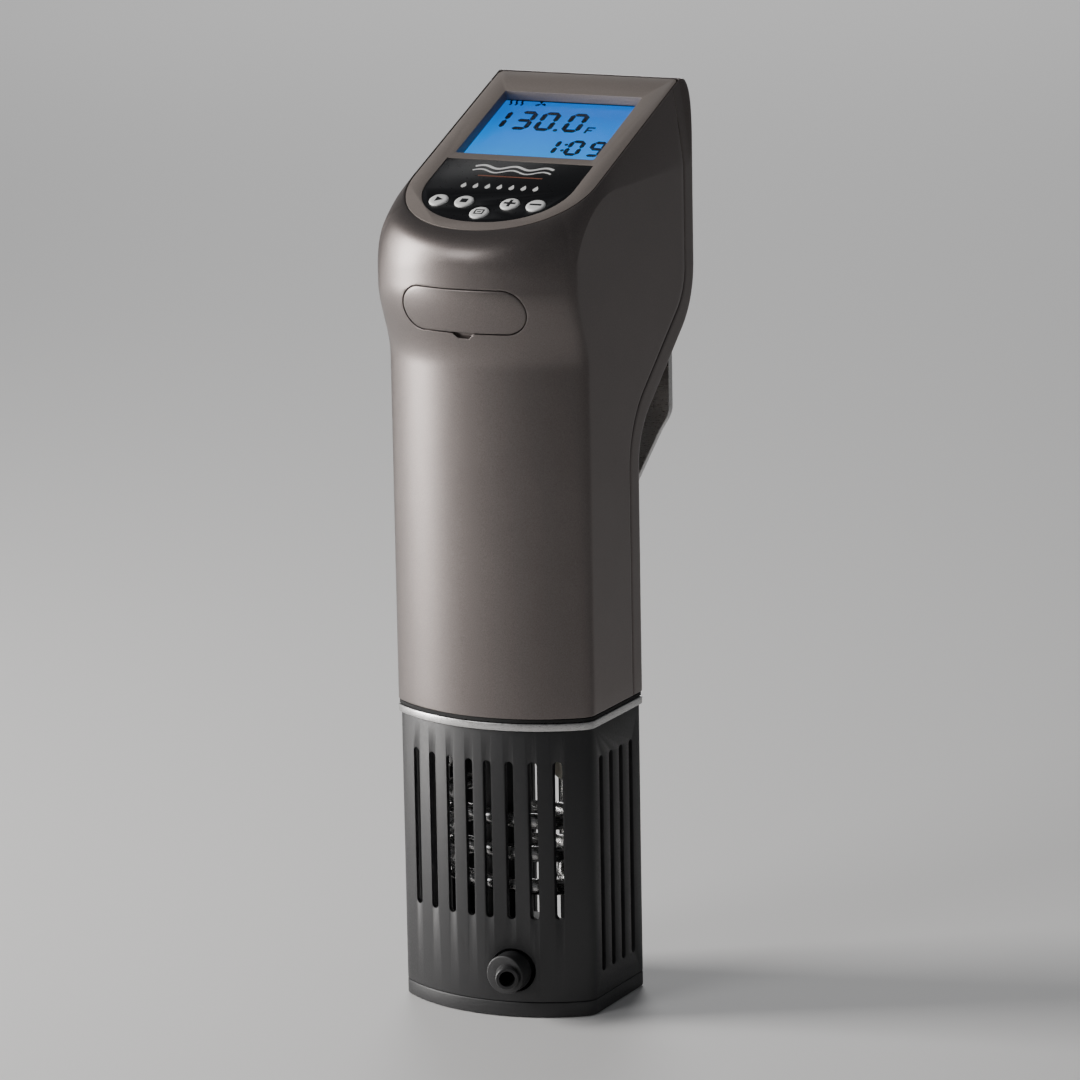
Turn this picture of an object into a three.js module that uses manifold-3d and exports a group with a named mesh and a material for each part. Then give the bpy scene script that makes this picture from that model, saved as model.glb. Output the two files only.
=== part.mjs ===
// Sous vide circulator: an immersion heater and pump that clamps to the wall of a pot.
// Millimetres, +Z up, the control panel faces -Y. The origin is on the flat underside, below the pump shaft.
import * as THREE from 'three';
import { mergeVertices } from 'three/addons/utils/BufferGeometryUtils.js';
import Module from 'manifold-3d';

const wasm = await Module();
wasm.setup();

// ---------------------------------------------------------------- driving dimensions
const HEIGHT = 360; // underside to the top edge of the control panel
const HALF_WIDTH = 43;
const WALL = 2.6;
const GAP = 0.3; // left between pieces that touch
const SLOPE = THREE.MathUtils.degToRad(22.5); // of the control panel
const PANEL_TOP_Y = 86;

const FRONT_RADIUS = 66.4; // of the convex front face, seen from above
const NECK_FRONT = -25.4;
const HEAD_FRONT = -34.3;
const FRONT_STEP = [260, 291]; // heights between which the front swells from neck to head
const NECK_BACK = 38.5;
const HEAD_BACK = 92;
const NECK_FILLET = 30; // where the neck's back meets the head's underside
const HEAD_FILLET = 32; // where the underside meets the head's back
const UNDERSIDE = THREE.MathUtils.degToRad(40);
const NECK_TOP = 212; // height where the neck's back starts to curve
const NECK_BOTTOM = 121.5;
const SEAM = 10; // the rear cover's depth
const SEAM_GAP = 0.25; // half of the shadow line along the seam

const BEZEL_HALF = 40.2; // half width of the flat panel
const BEZEL_ARC_START = 82; // down-slope distance where its sides start to round
const BEZEL_LENGTH = 120.6;
const BEZEL_POWER = 2.15; // of the superellipse that ends the panel
const CHEEK_RADIUS = 40; // of the side's edge between the panel and the front
const CHEEK_TOP = [81.6, 355.6]; // the side's edge under the panel's top corner, as Y and Z
const CHEEK_TAN = 0.431; // slope of that edge
const CHEEK_FRONT = -19.6;
const CHEEK_FADE = [60, 2]; // behind this Y the edge rises to meet the panel, by this much in all
const REAR_EDGE_Z = 355.5; // height where the back rounds over to the panel
const PANEL_CORNER = 1; // radius of the panel's top corners

const BEZEL_THICKNESS = 4;
const WINDOW = { half: 30.2, top: 16.1, bottom: 64.4 };
const OVERLAY = { half: 31.7, top: 68.6, arc: 86, length: 113.8 };
const BUTTON_RADIUS = 3.96;
const BUTTONS = {
  play: [-21, 99.9],
  stop: [-9.9, 99.9],
  plus: [9.9, 99.9],
  minus: [21, 99.9],
  menu: [0, 107.3],
};
const BADGE = { half: 26.4, low: 274.6, high: 292.3, depth: 1.2 };
const BADGE_TAB = { top: 4.6, bottom: 2.4, depth: 2 }; // finger notch under the badge

const SHAFT_RADIUS = 3;
const MOTOR_RADIUS = 20;
const BASE_THICKNESS = 6;
const DECK_LOW = 116.5; // the bulkhead between the dry neck and the wet cage
const DECK_HIGH = 119.6;
const CAGE_INSET = 1;
const CAGE_WALL = 2.2;
const PUMP_LOW = 8;
const PUMP_HIGH = 30.7;
const OUTLET = { x: 13, z: 19 };
const COIL = { radius: 3.2, halfX: 29, halfY: 20, y: 6, top: 82, bottom: 46, turns: 3, legX: 12, legY: 31.5 };
const SENSOR = { x: 27, y: 6 }; // the float is at +X and the temperature probe at -X

const BRACKET = { half: 38, front: 76.4, thickness: 3.2, low: 188, high: 268 };
const CLAMP_Z = 203;
const SCREW_RADIUS = 3.9;
const SCREW_POSTS = [[36.3, 334], [36.3, 298]]; // X and Z of the rear cover's screws, used on both sides
const INLET = { x: -13, z: 318, half: 13.7, halfHeight: 10.2 };
const ROCKER = { x: 22, z: 318, half: 6.4, halfHeight: 9.4, y: 90.6 };

// ---------------------------------------------------------------- solids
const panelY = (v) => PANEL_TOP_Y - v * Math.cos(SLOPE);
const planeZ = (y) => HEIGHT - (PANEL_TOP_Y - y) * Math.tan(SLOPE);
const lerp = THREE.MathUtils.lerp;

function solid(geometry) {
  const clean = geometry.clone();
  clean.deleteAttribute('normal');
  clean.deleteAttribute('uv');
  const merged = mergeVertices(clean, 1e-4);
  return new wasm.Manifold(new wasm.Mesh({
    numProp: 3,
    vertProperties: new Float32Array(merged.attributes.position.array),
    triVerts: new Uint32Array(merged.index.array),
  }));
}

function geometryOf(manifold) {
  const mesh = manifold.getMesh();
  const geometry = new THREE.BufferGeometry();
  geometry.setAttribute('position', new THREE.BufferAttribute(mesh.vertProperties, 3));
  geometry.setIndex(new THREE.BufferAttribute(mesh.triVerts, 1));
  return geometry;
}

const combine = (first, others, how) => geometryOf(others.reduce((sum, g) => sum[how](solid(g)), solid(first)));
const join = (first, ...others) => combine(first, others, 'add');
const cut = (first, ...others) => combine(first, others, 'subtract');
const common = (first, ...others) => combine(first, others, 'intersect');

function box(low, high) {
  const size = high.map((value, i) => value - low[i]);
  const middle = high.map((value, i) => (value + low[i]) / 2);
  return new THREE.BoxGeometry(...size).translate(...middle);
}

// A cylinder or cone from z = 0 to its length, then turned to run along an axis.
function rod(radius, length, axis = 'z', sides = 18, farRadius = radius) {
  const geometry = new THREE.CylinderGeometry(farRadius, radius, length, sides);
  geometry.rotateX(Math.PI / 2).translate(0, 0, length / 2);
  if (axis === 'y') geometry.rotateX(-Math.PI / 2);
  return geometry;
}

// A turned piece. Its profile is a closed list of [radius, height], counted anticlockwise.
function turned(profile, sides = 18, axis = 'z') {
  const points = profile.map(([r, z]) => new THREE.Vector2(r, z));
  if (profile[0][0] > 0) points.push(points[0].clone());
  const geometry = new THREE.LatheGeometry(points, sides);
  return axis === 'y' ? geometry : geometry.rotateX(Math.PI / 2);
}

const ring = (inner, outer, low, high, sides = 18) =>
  turned([[inner, low], [outer, low], [outer, high], [inner, high]], sides);

function shapeOf(points) {
  return new THREE.Shape(points.map(([x, y]) => new THREE.Vector2(x, y)));
}

function slab(points, low, high) {
  const geometry = new THREE.ExtrudeGeometry(shapeOf(points), { depth: high - low, bevelEnabled: false });
  return geometry.translate(0, 0, low);
}

// A prism along X whose outline is given as [Y, Z] points.
function sidePrism(points, low, high) {
  const basis = new THREE.Matrix4().makeBasis(
    new THREE.Vector3(0, 1, 0), new THREE.Vector3(0, 0, 1), new THREE.Vector3(1, 0, 0));
  return slab(points, low, high).applyMatrix4(basis);
}

// The frame of the sloped panel: x across, y up the slope from its top edge, z out of it.
const panelMatrix = new THREE.Matrix4().makeRotationX(SLOPE).setPosition(0, PANEL_TOP_Y, HEIGHT);
const onPanel = (geometry) => geometry.clone().applyMatrix4(panelMatrix);

// ---------------------------------------------------------------- the body's outer surface
function backY(z, inset = 0) {
  const neckRadius = NECK_FILLET + inset;
  const headRadius = HEAD_FILLET - inset;
  const neckY = NECK_BACK + NECK_FILLET;
  const headY = HEAD_BACK - HEAD_FILLET;
  const [nx, nz] = [Math.sin(UNDERSIDE), -Math.cos(UNDERSIDE)];
  const headZ = NECK_TOP + (-(NECK_FILLET + HEAD_FILLET) - nx * (headY - neckY)) / nz;
  const lineStart = [neckY - nx * neckRadius, NECK_TOP - nz * neckRadius];
  const lineEnd = [headY + nx * headRadius, headZ + nz * headRadius];
  if (z <= NECK_TOP) return NECK_BACK - inset;
  if (z <= lineStart[1]) return neckY - Math.sqrt(neckRadius ** 2 - (z - NECK_TOP) ** 2);
  if (z <= lineEnd[1]) return lineStart[0] + (z - lineStart[1]) / Math.tan(UNDERSIDE);
  if (z <= headZ) return headY + Math.sqrt(headRadius ** 2 - (headZ - z) ** 2);
  return HEAD_BACK - inset;
}

const frontY = (z) => lerp(NECK_FRONT, HEAD_FRONT, THREE.MathUtils.smoothstep(z, ...FRONT_STEP));

function bend(from, corner, to, steps) {
  const curve = new THREE.QuadraticBezierCurve(
    new THREE.Vector2(...from), new THREE.Vector2(...corner), new THREE.Vector2(...to));
  return curve.getPoints(steps).slice(1).map((p) => [p.x, p.y]);
}

// The right half of a level section, from the middle of the front to the middle of the back.
const [ARC_STEPS, CORNER_STEPS, SIDE_STEPS] = [5, 2, 7];
const FRONT_CORNER = 3.4;
const BACK_CORNER = 3;
function rightHalf(z, inset = 0) {
  const half = HALF_WIDTH - inset;
  const radius = FRONT_RADIUS - inset;
  const front = (x) => frontY(z) + inset + radius - Math.sqrt(radius ** 2 - x ** 2);
  const back = backY(z, inset);
  const points = [];
  for (let i = 0; i <= ARC_STEPS; i++) {
    const x = (half - FRONT_CORNER) * i / ARC_STEPS;
    points.push([x, front(x)]);
  }
  const sideFront = front(half) + FRONT_CORNER;
  points.push(...bend(points.at(-1), [half, front(half)], [half, sideFront], CORNER_STEPS));
  const sideBack = back - BACK_CORNER;
  for (let i = 1; i <= SIDE_STEPS; i++) points.push([half, lerp(sideFront, sideBack, i / SIDE_STEPS)]);
  points.push(...bend(points.at(-1), [half, back], [half - BACK_CORNER, back], CORNER_STEPS));
  points.push([half / 2, back], [0, back]);
  return points;
}

const mirrored = (half) => [...half, ...half.slice(1, -1).reverse().map(([x, ...rest]) => [-x, ...rest])];
const section = (z, inset = 0) => mirrored(rightHalf(z, inset));

// Height where the wall turns over towards the panel.
function rimZ(x, y, onSide) {
  const lineZ = (at) => CHEEK_TOP[1] - (CHEEK_TOP[0] - at) * CHEEK_TAN;
  const turn = (Math.PI / 2 - Math.atan(CHEEK_TAN)) / 2;
  const centre = [CHEEK_FRONT + CHEEK_RADIUS, lineZ(CHEEK_FRONT) - CHEEK_RADIUS * Math.tan(turn)];
  const cheek = (at) => {
    const dy = THREE.MathUtils.clamp(at - centre[0], -CHEEK_RADIUS, 0);
    const arc = centre[1] + Math.sqrt(CHEEK_RADIUS ** 2 - dy ** 2);
    const share = Math.max(0, at - CHEEK_FADE[0]) / (PANEL_TOP_Y - CHEEK_FADE[0]);
    return Math.min(arc, lineZ(at) + CHEEK_FADE[1] * Math.min(1, share) ** 2);
  };
  if (y > PANEL_TOP_Y) {
    const back = Math.min(1, (y - PANEL_TOP_Y) / (HEAD_BACK - PANEL_TOP_Y));
    return lerp(REAR_EDGE_Z, cheek(PANEL_TOP_Y), Math.sqrt(1 - back ** 2));
  }
  if (onSide) return Math.max(cheek(y), FRONT_STEP[1] + 3.5);
  return FRONT_STEP[1] + 3.5 + 6 * (1 - (x / HALF_WIDTH) ** 2);
}

// The panel's flat outline: straight sides, then a superellipse, as down-slope distances.
function panelEnd(angle, half = BEZEL_HALF, start = BEZEL_ARC_START, length = BEZEL_LENGTH) {
  const across = half * Math.cos(angle) ** (2 / BEZEL_POWER);
  const down = start + (length - start) * Math.sin(angle) ** (2 / BEZEL_POWER);
  return [across, down];
}

// Where each point of the head's section meets the panel.
function panelHalf(sectionHalf) {
  const arcY = panelY(BEZEL_ARC_START);
  const sideEnd = ARC_STEPS + CORNER_STEPS + SIDE_STEPS;
  const sideTop = sectionHalf[sideEnd][1];
  const cornerY = PANEL_TOP_Y - PANEL_CORNER;
  const travelled = [0];
  for (let i = 1; i < sectionHalf.length; i++) {
    const [dx, dy] = [0, 1].map((k) => sectionHalf[i][k] - sectionHalf[i - 1][k]);
    travelled.push(travelled[i - 1] + Math.hypot(dx, dy));
  }
  const straightFrom = travelled[sideEnd] - (sideTop - arcY);
  const corner = bend([BEZEL_HALF, cornerY], [BEZEL_HALF, PANEL_TOP_Y],
    [BEZEL_HALF - PANEL_CORNER, PANEL_TOP_Y], CORNER_STEPS);
  return sectionHalf.map(([x, y], i) => {
    if (i > sideEnd + CORNER_STEPS) return [x * (1 - BACK_CORNER / HALF_WIDTH), PANEL_TOP_Y];
    if (i > sideEnd) return corner[i - sideEnd - 1];
    if (travelled[i] >= straightFrom) {
      return [BEZEL_HALF, lerp(arcY, cornerY, (y - arcY) / (sideTop - arcY))];
    }
    const [across, down] = panelEnd(Math.PI / 2 * (1 - travelled[i] / straightFrom));
    return [i === 0 ? 0 : across, panelY(down)];
  });
}

// Rings of the body, from the bottom up. The last one lies in the panel's plane.
const RISE_STEPS = 2;
const ROUND_STEPS = 3;
function bodyRings(inset, bottom) {
  const levels = [bottom, NECK_TOP, 224, 236, 256, 263, 270, 277, 284, FRONT_STEP[1]];
  const rings = levels.map((z) => section(z, inset).map(([x, y]) => [x, y, z]));
  const foot = rightHalf(FRONT_STEP[1], inset);
  const drop = inset / Math.cos(SLOPE);
  const sideStart = ARC_STEPS + CORNER_STEPS;
  const rims = foot.map(([x, y], i) => [x, y, rimZ(x, y, i > ARC_STEPS) - drop]);
  const edge = panelHalf(foot).map(([x, y]) => {
    const shrunk = [x * (1 - inset / BEZEL_HALF), 30 + (y - 30) * (1 - inset / 56)];
    return [...shrunk, planeZ(shrunk[1]) - drop];
  });
  const control = rims.map(([x, y, z], i) => {
    const roundness = i < sideStart + 2 ? lerp(0.92, 0.3, i / (sideStart + 2)) : 0.3;
    const k = i > sideStart + SIDE_STEPS ? 1 : roundness;
    const top = Math.min(planeZ(y), HEIGHT) - drop;
    return [
      lerp((x + edge[i][0]) / 2, x, k),
      lerp((y + edge[i][1]) / 2, y, k),
      lerp((z + edge[i][2]) / 2, top, k),
    ];
  });
  for (let step = 1; step <= RISE_STEPS; step++) {
    rings.push(mirrored(rims.map(([x, y, z]) => [x, y, lerp(FRONT_STEP[1], z, step / RISE_STEPS)])));
  }
  for (let step = 1; step <= ROUND_STEPS; step++) {
    const t = step / ROUND_STEPS;
    const weights = [(1 - t) ** 2, 2 * t * (1 - t), t ** 2];
    rings.push(mirrored(rims.map((rim, i) => [0, 1, 2].map(
      (k) => weights[0] * rim[k] + weights[1] * control[i][k] + weights[2] * edge[i][k]))));
  }
  return rings;
}

// A closed solid through rings of equal length, with flat caps.
function loft(rings) {
  const count = rings[0].length;
  const indices = [];
  for (let j = 0; j + 1 < rings.length; j++) {
    for (let i = 0; i < count; i++) {
      const next = (i + 1) % count;
      const [a, b] = [j * count + i, j * count + next];
      indices.push(a, b, b + count, a, b + count, a + count);
    }
  }
  const flat = rings[0].map(([x, y]) => new THREE.Vector2(x, y));
  const capOf = (points) => THREE.ShapeUtils.triangulateShape(points, []);
  for (const [a, b, c] of capOf(flat)) indices.push(c, b, a);
  const top = (rings.length - 1) * count;
  const topFlat = rings.at(-1).map(([x, y]) => new THREE.Vector2(x, y));
  for (const [a, b, c] of capOf(topFlat)) indices.push(top + a, top + b, top + c);
  const geometry = new THREE.BufferGeometry();
  geometry.setAttribute('position', new THREE.Float32BufferAttribute(rings.flat(2), 3));
  geometry.setIndex(indices);
  return geometry;
}

// Everything in front of the seam, or behind it, as a prism wider than the body.
function seamPrism(inset, edgeY) {
  const heights = [100];
  for (let z = NECK_TOP; z <= 292; z += 8) heights.push(z);
  heights.push(HEIGHT + 20);
  const line = heights.map((z) => [backY(z, inset), z]);
  const outline = [...line, [edgeY, HEIGHT + 20], [edgeY, 100]];
  return sidePrism(edgeY < 0 ? outline : outline.reverse(), -HALF_WIDTH - 5, HALF_WIDTH + 5);
}

function panelOutline(half, top, start, length, steps = 9) {
  const right = [[half, -top]];
  for (let i = 0; i <= steps; i++) {
    const [across, down] = panelEnd(Math.PI / 2 * i / steps, half, start, length);
    right.push([i === steps ? 0 : across, -down]);
  }
  const left = right.slice(0, -1).reverse().map(([x, y]) => [-x, y]);
  return [...right, ...left].reverse();
}

function pill(half, low, high, steps = 6) {
  const radius = (high - low) / 2;
  const points = [];
  for (const side of [1, -1]) {
    for (let i = 0; i <= steps; i++) {
      const angle = side * (Math.PI * i / steps - Math.PI / 2);
      const x = side * (half - radius) + side * radius * Math.cos(Math.PI * i / steps - Math.PI / 2);
      points.push([x, (low + high) / 2 + radius * Math.sin(angle)]);
    }
  }
  return points;
}

// A prism along Y, from a [X, Z] outline counted anticlockwise seen from the front.
function frontPrism(points, nearY, farY) {
  return slab(points, 0, farY - nearY).rotateX(Math.PI / 2).translate(0, farY, 0);
}

const outerBody = loft(bodyRings(0, NECK_BOTTOM));
const innerBody = loft(bodyRings(WALL, NECK_BOTTOM - 5));
const shell = cut(outerBody, innerBody);
const bezelBlock = (margin, low, high) => slab(
  panelOutline(BEZEL_HALF - margin, margin + 1, BEZEL_ARC_START, BEZEL_LENGTH - margin), low, high);

// ---------------------------------------------------------------- casing pieces
function mainHousing() {
  const { top, bottom, depth } = BADGE_TAB;
  const tab = [[-bottom, BADGE.low - depth], [bottom, BADGE.low - depth],
    [top, BADGE.low + 1], [-top, BADGE.low + 1]];
  const pocket = cut(
    join(
      frontPrism(pill(BADGE.half + 0.35, BADGE.low - 0.35, BADGE.high + 0.35), -60, -12),
      frontPrism(tab, -60, -12)),
    loft(bodyRings(BADGE.depth + GAP, NECK_BOTTOM - 5)));
  const front = common(shell, seamPrism(SEAM + SEAM_GAP, -80));
  const posts = [];
  const bores = [];
  for (const [x, z] of SCREW_POSTS) {
    for (const side of [-1, 1]) {
      posts.push(rod(4.4, 12, 'y', 12).translate(side * x, 69.6, z));
      bores.push(rod(1.6, 20, 'y', 10).translate(side * x, 72, z));
    }
  }
  const opened = cut(front, onPanel(bezelBlock(0.6, -12, 8)), pocket);
  return cut(join(opened, ...posts), ...bores);
}

function rearCover() {
  const back = common(shell, seamPrism(SEAM - SEAM_GAP, 140));
  const posts = [];
  const cuts = [onPanel(bezelBlock(0.6, -12, 8))];
  for (const [x, z] of SCREW_POSTS) {
    for (const side of [-1, 1]) {
      posts.push(rod(4.4, 8, 'y', 12).translate(side * x, 82.4, z));
      cuts.push(rod(1.6, 20, 'y', 10).translate(side * x, 80, z));
      cuts.push(rod(3.5, 10, 'y', 12).translate(side * x, 86, z));
    }
  }
  const inlet = [INLET.half + 0.35, INLET.halfHeight + 0.35];
  cuts.push(box([INLET.x - inlet[0], 80, INLET.z - inlet[1]], [INLET.x + inlet[0], 100, INLET.z + inlet[1]]));
  const rocker = [ROCKER.half + 0.35, ROCKER.halfHeight + 0.35];
  cuts.push(box([ROCKER.x - rocker[0], 80, ROCKER.z - rocker[1]], [ROCKER.x + rocker[0], 100, ROCKER.z + rocker[1]]));
  for (let i = 0; i < 3; i++) cuts.push(box([-22, 84, 284 + 6 * i], [22, 100, 286.4 + 6 * i]));
  cuts.push(box([-BRACKET.half - 0.35, BRACKET.front - 0.35, 240],
    [BRACKET.half + 0.35, BRACKET.front + BRACKET.thickness + 0.35, 275]));
  return cut(join(back, ...posts), ...cuts);
}

function badgePlate() {
  const skin = cut(outerBody, loft(bodyRings(BADGE.depth, NECK_BOTTOM - 5)));
  return common(skin, frontPrism(pill(BADGE.half, BADGE.low, BADGE.high), -60, 0));
}

// ---------------------------------------------------------------- panel pieces, in the panel's frame
const windowBox = (margin, low, high) => box(
  [-WINDOW.half - margin, -WINDOW.bottom - margin, low], [WINDOW.half + margin, -WINDOW.top + margin, high]);
const overlaySlab = (margin, low, high) => slab(panelOutline(
  OVERLAY.half + margin, OVERLAY.top - margin, OVERLAY.arc, OVERLAY.length + margin), low, high);
const buttonHoles = (radius) => Object.values(BUTTONS).map(
  ([u, v]) => rod(radius, 20, 'z', 14).translate(u, -v, -12));

const displayBezel = () => cut(bezelBlock(0.9, -BEZEL_THICKNESS, 0),
  windowBox(0, -10, 5), overlaySlab(GAP, -1.3, 5), ...buttonHoles(BUTTON_RADIUS + 0.35));
const controlOverlay = () => cut(overlaySlab(0, -1, -0.1), ...buttonHoles(BUTTON_RADIUS + 0.35));
const displayLens = () => windowBox(2, -BEZEL_THICKNESS - 1.3, -BEZEL_THICKNESS - GAP);
const lcdPanel = () => windowBox(1.4, -7.6, -5.6);
const backlightFrame = () => windowBox(1.2, -11.9, -7.9);

function displayBoard() {
  const board = box([-31, -88, -14.1], [31, -9, -12.5]);
  const tongue = box([-26, -113, -14.1], [26, -87, -12.5]);
  return join(board, tongue);
}

function switchMat() {
  const domes = Object.values(BUTTONS).map(([u, v]) => rod(3, 2.4, 'z', 10, 2.2).translate(u, -v, -10.8));
  return join(box([-25.6, -112.6, -12.2], [25.6, -94, -10.6]), ...domes);
}

// A domed cap on a longer stem, kept in by a flange behind the bezel.
function button([u, v]) {
  const r = BUTTON_RADIUS;
  const profile = [[0, -7.6], [r - 1, -7.6], [r - 1, -6.4], [r + 0.8, -6.4], [r + 0.8, -5.2],
    [r, -5.2], [r, 0.1], [r - 0.4, 0.5], [0, 0.6]];
  return turned(profile, 14).translate(u, -v, 0);
}

// ---------------------------------------------------------------- electronics in the head
const mainBoard = () => box([-33, 62, 266], [33, 63.6, 320]);

function transformer() {
  const core = box([-30, 40.5, 270], [0, 58.5, 296]);
  const windings = box([-27, 36.8, 274], [-3, 61.7, 292]);
  return join(core, windings);
}

function heatsink() {
  const fins = [];
  for (let i = 0; i < 5; i++) fins.push(box([10 + 4.6 * i, 44, 270], [11.6 + 4.6 * i, 59.5, 300]));
  return join(box([10, 59, 270], [30, 61.7, 300]), ...fins);
}

const relay = () => box([6, 47, 304], [25, 61.7, 318]);

function capacitor() {
  const profile = [[0, 0], [6.4, 0], [7, 1], [7, 20], [6.4, 20.6], [6.4, 22], [7, 22.6], [7, 24], [0, 24]];
  return turned(profile, 16).rotateX(Math.PI / 2).translate(-16, 61.7, 308);
}

function powerInlet() {
  const body = box([-INLET.half, 68, -INLET.halfHeight], [INLET.half, 93, INLET.halfHeight]);
  const flange = box([-INLET.half - 2, HEAD_BACK + GAP, -INLET.halfHeight - 2],
    [INLET.half + 2, HEAD_BACK + 2, INLET.halfHeight + 2]);
  const socket = slab([[-11.8, -8], [11.8, -8], [11.8, 4], [7.6, 8], [-7.6, 8], [-11.8, 4]], 0, 22)
    .rotateX(Math.PI / 2).translate(0, 100, 0);
  return cut(join(body, flange), socket).translate(INLET.x, 0, INLET.z);
}
const inletPin = (x, z) => box([INLET.x + x - 1, 78 + GAP, INLET.z + z - 2], [INLET.x + x + 1, 89, INLET.z + z + 2]);

function rockerFrame() {
  const body = box([-ROCKER.half, 74, -ROCKER.halfHeight], [ROCKER.half, 93, ROCKER.halfHeight]);
  const flange = box([-ROCKER.half - 1.4, HEAD_BACK + GAP, -ROCKER.halfHeight - 1.4],
    [ROCKER.half + 1.4, HEAD_BACK + 1.6, ROCKER.halfHeight + 1.4]);
  const well = box([-5, 82, -8], [5, 100, 8]);
  return cut(join(body, flange), well).translate(ROCKER.x, 0, ROCKER.z);
}

// The rocker rests on its lower half and turns about an axle along X.
const ROCKER_TILT = THREE.MathUtils.degToRad(10);
function rockerKey() {
  const profile = [[-4, -6.4], [1.8, -7.4], [2.4, -6.8], [1.2, 0], [2.4, 6.8], [1.8, 7.4], [-4, 6.4], [-6, 0]];
  return sidePrism(profile, -4.6, 4.6).rotateX(-ROCKER_TILT).translate(ROCKER.x, ROCKER.y, ROCKER.z);
}

// ---------------------------------------------------------------- motor in the neck
const motorCan = () => turned([[18, 132], [MOTOR_RADIUS, 132], [MOTOR_RADIUS, 182], [8.4, 182], [8.4, 176],
  [18, 176]], 20);
const motorEndBell = () => turned([[8.4, 120], [21.5, 120], [21.5, 123], [MOTOR_RADIUS, 123],
  [MOTOR_RADIUS, 131.7], [8.4, 131.7]], 20);
const rotorCore = () => ring(SHAFT_RADIUS + GAP, 10.6, 141, 169);
const shaftSeal = () => ring(SHAFT_RADIUS + 0.4, 7.2, 117, 119.2);
const bearing = (low) => ring(SHAFT_RADIUS + GAP, 8, low, low + 5);

function statorCore() {
  const slots = [];
  for (let i = 0; i < 6; i++) {
    slots.push(box([10, -2, 130], [15, 2, 180]).rotateZ(Math.PI / 3 * i));
  }
  return cut(ring(11.4, 17.6, 140, 170), ...slots);
}

function driveShaft() {
  const flat = box([2.2, -5, 198], [6, 5, 210]);
  return cut(rod(SHAFT_RADIUS, 189, 'z', 16).translate(0, 0, 15), flat);
}

// A hub with pitched blades; the vanes of the impeller are built the same way.
function bladed(hub, count, blade, pitch) {
  const blades = [];
  for (let i = 0; i < count; i++) {
    blades.push(blade.clone().rotateZ(pitch).translate(hub.reach, 0, 0).rotateZ(2 * Math.PI / count * i));
  }
  return blades;
}

function coolingFan() {
  const blade = box([-6.5, -0.6, -4], [6.5, 0.6, 4]).rotateX(THREE.MathUtils.degToRad(38));
  const blades = bladed({ reach: 10.5 }, 7, blade, 0).map((b) => b.translate(0, 0, 191));
  return cut(join(rod(6, 9, 'z', 16).translate(0, 0, 186.5), ...blades), rod(SHAFT_RADIUS + GAP, 30, 'z', 16)
    .translate(0, 0, 180));
}

function impeller() {
  const vane = box([-5.6, -0.8, 12], [5.6, 0.8, 24.4]);
  const vanes = bladed({ reach: 9 }, 6, vane, THREE.MathUtils.degToRad(24));
  const body = join(rod(5.4, 14, 'z', 16).translate(0, 0, 12), rod(15, 2).translate(0, 0, 24), ...vanes);
  return cut(body, rod(SHAFT_RADIUS + GAP, 20, 'z', 16).translate(0, 0, 14.7));
}

// ---------------------------------------------------------------- wet end
function bulkhead() {
  const holes = [rod(7.5, 20, 'z', 20).translate(0, 0, 110)];
  for (const side of [-1, 1]) {
    holes.push(rod(COIL.radius + 0.6, 20, 'z', 12).translate(side * COIL.legX, COIL.legY, 110));
    holes.push(rod(3.1, 20, 'z', 12).translate(side * SENSOR.x, SENSOR.y, 110));
  }
  return cut(slab(section(NECK_BOTTOM), DECK_LOW, DECK_HIGH), ...holes);
}

const gasket = () => cut(slab(section(NECK_BOTTOM, 0.4), DECK_HIGH + GAP, NECK_BOTTOM - GAP),
  slab(section(NECK_BOTTOM, 3), DECK_HIGH - 1, NECK_BOTTOM + 1));

function pumpCage() {
  const top = DECK_LOW - GAP;
  const outer = slab(section(NECK_BOTTOM, CAGE_INSET), BASE_THICKNESS + GAP, top);
  const inner = slab(section(NECK_BOTTOM, CAGE_INSET + CAGE_WALL), 0, 130);
  const windows = [rod(9, 20, 'y', 20).translate(OUTLET.x, -32, OUTLET.z)];
  for (const x of [-31, -22, -13, -4, 4, 13, 22, 31]) {
    windows.push(box([x - 1.7, -32, 40], [x + 1.7, -5, 104]));
    windows.push(box([x - 1.7, 30, 16], [x + 1.7, 45, 104]));
  }
  for (const y of [0, 9, 18, 27]) {
    windows.push(box([-50, y - 1.7, 16], [50, y + 1.7, 104]));
  }
  return cut(outer, inner, ...windows);
}

function cageBase() {
  const plate = slab(section(NECK_BOTTOM, CAGE_INSET), 0, BASE_THICKNESS);
  const slots = [];
  for (const x of [-32, -24, 24, 32]) slots.push(box([x - 1.8, -8, -5], [x + 1.8, 28, 20]));
  return cut(plate, ...slots);
}

function pumpColumn() {
  return turned([[8, PUMP_HIGH + GAP], [10, PUMP_HIGH + GAP], [10, 110], [14, 113], [14, DECK_LOW - GAP],
    [8, DECK_LOW - GAP]], 20);
}

function pumpVolute() {
  const cup = turned([[8, PUMP_LOW], [20, PUMP_LOW], [20, PUMP_HIGH], [5, PUMP_HIGH], [5, 28.7], [18, 28.7],
    [18, 10], [8, 10]], 20);
  const pipe = rod(5.5, 22, 'y', 16).translate(OUTLET.x, -27, OUTLET.z);
  const bore = rod(4, 23, 'y', 16).translate(OUTLET.x, -28, OUTLET.z);
  const chamber = rod(17.9, 18.6, 'z', 20).translate(0, 0, 10.05);
  return cut(join(cup, cut(pipe, chamber)), bore);
}

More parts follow.
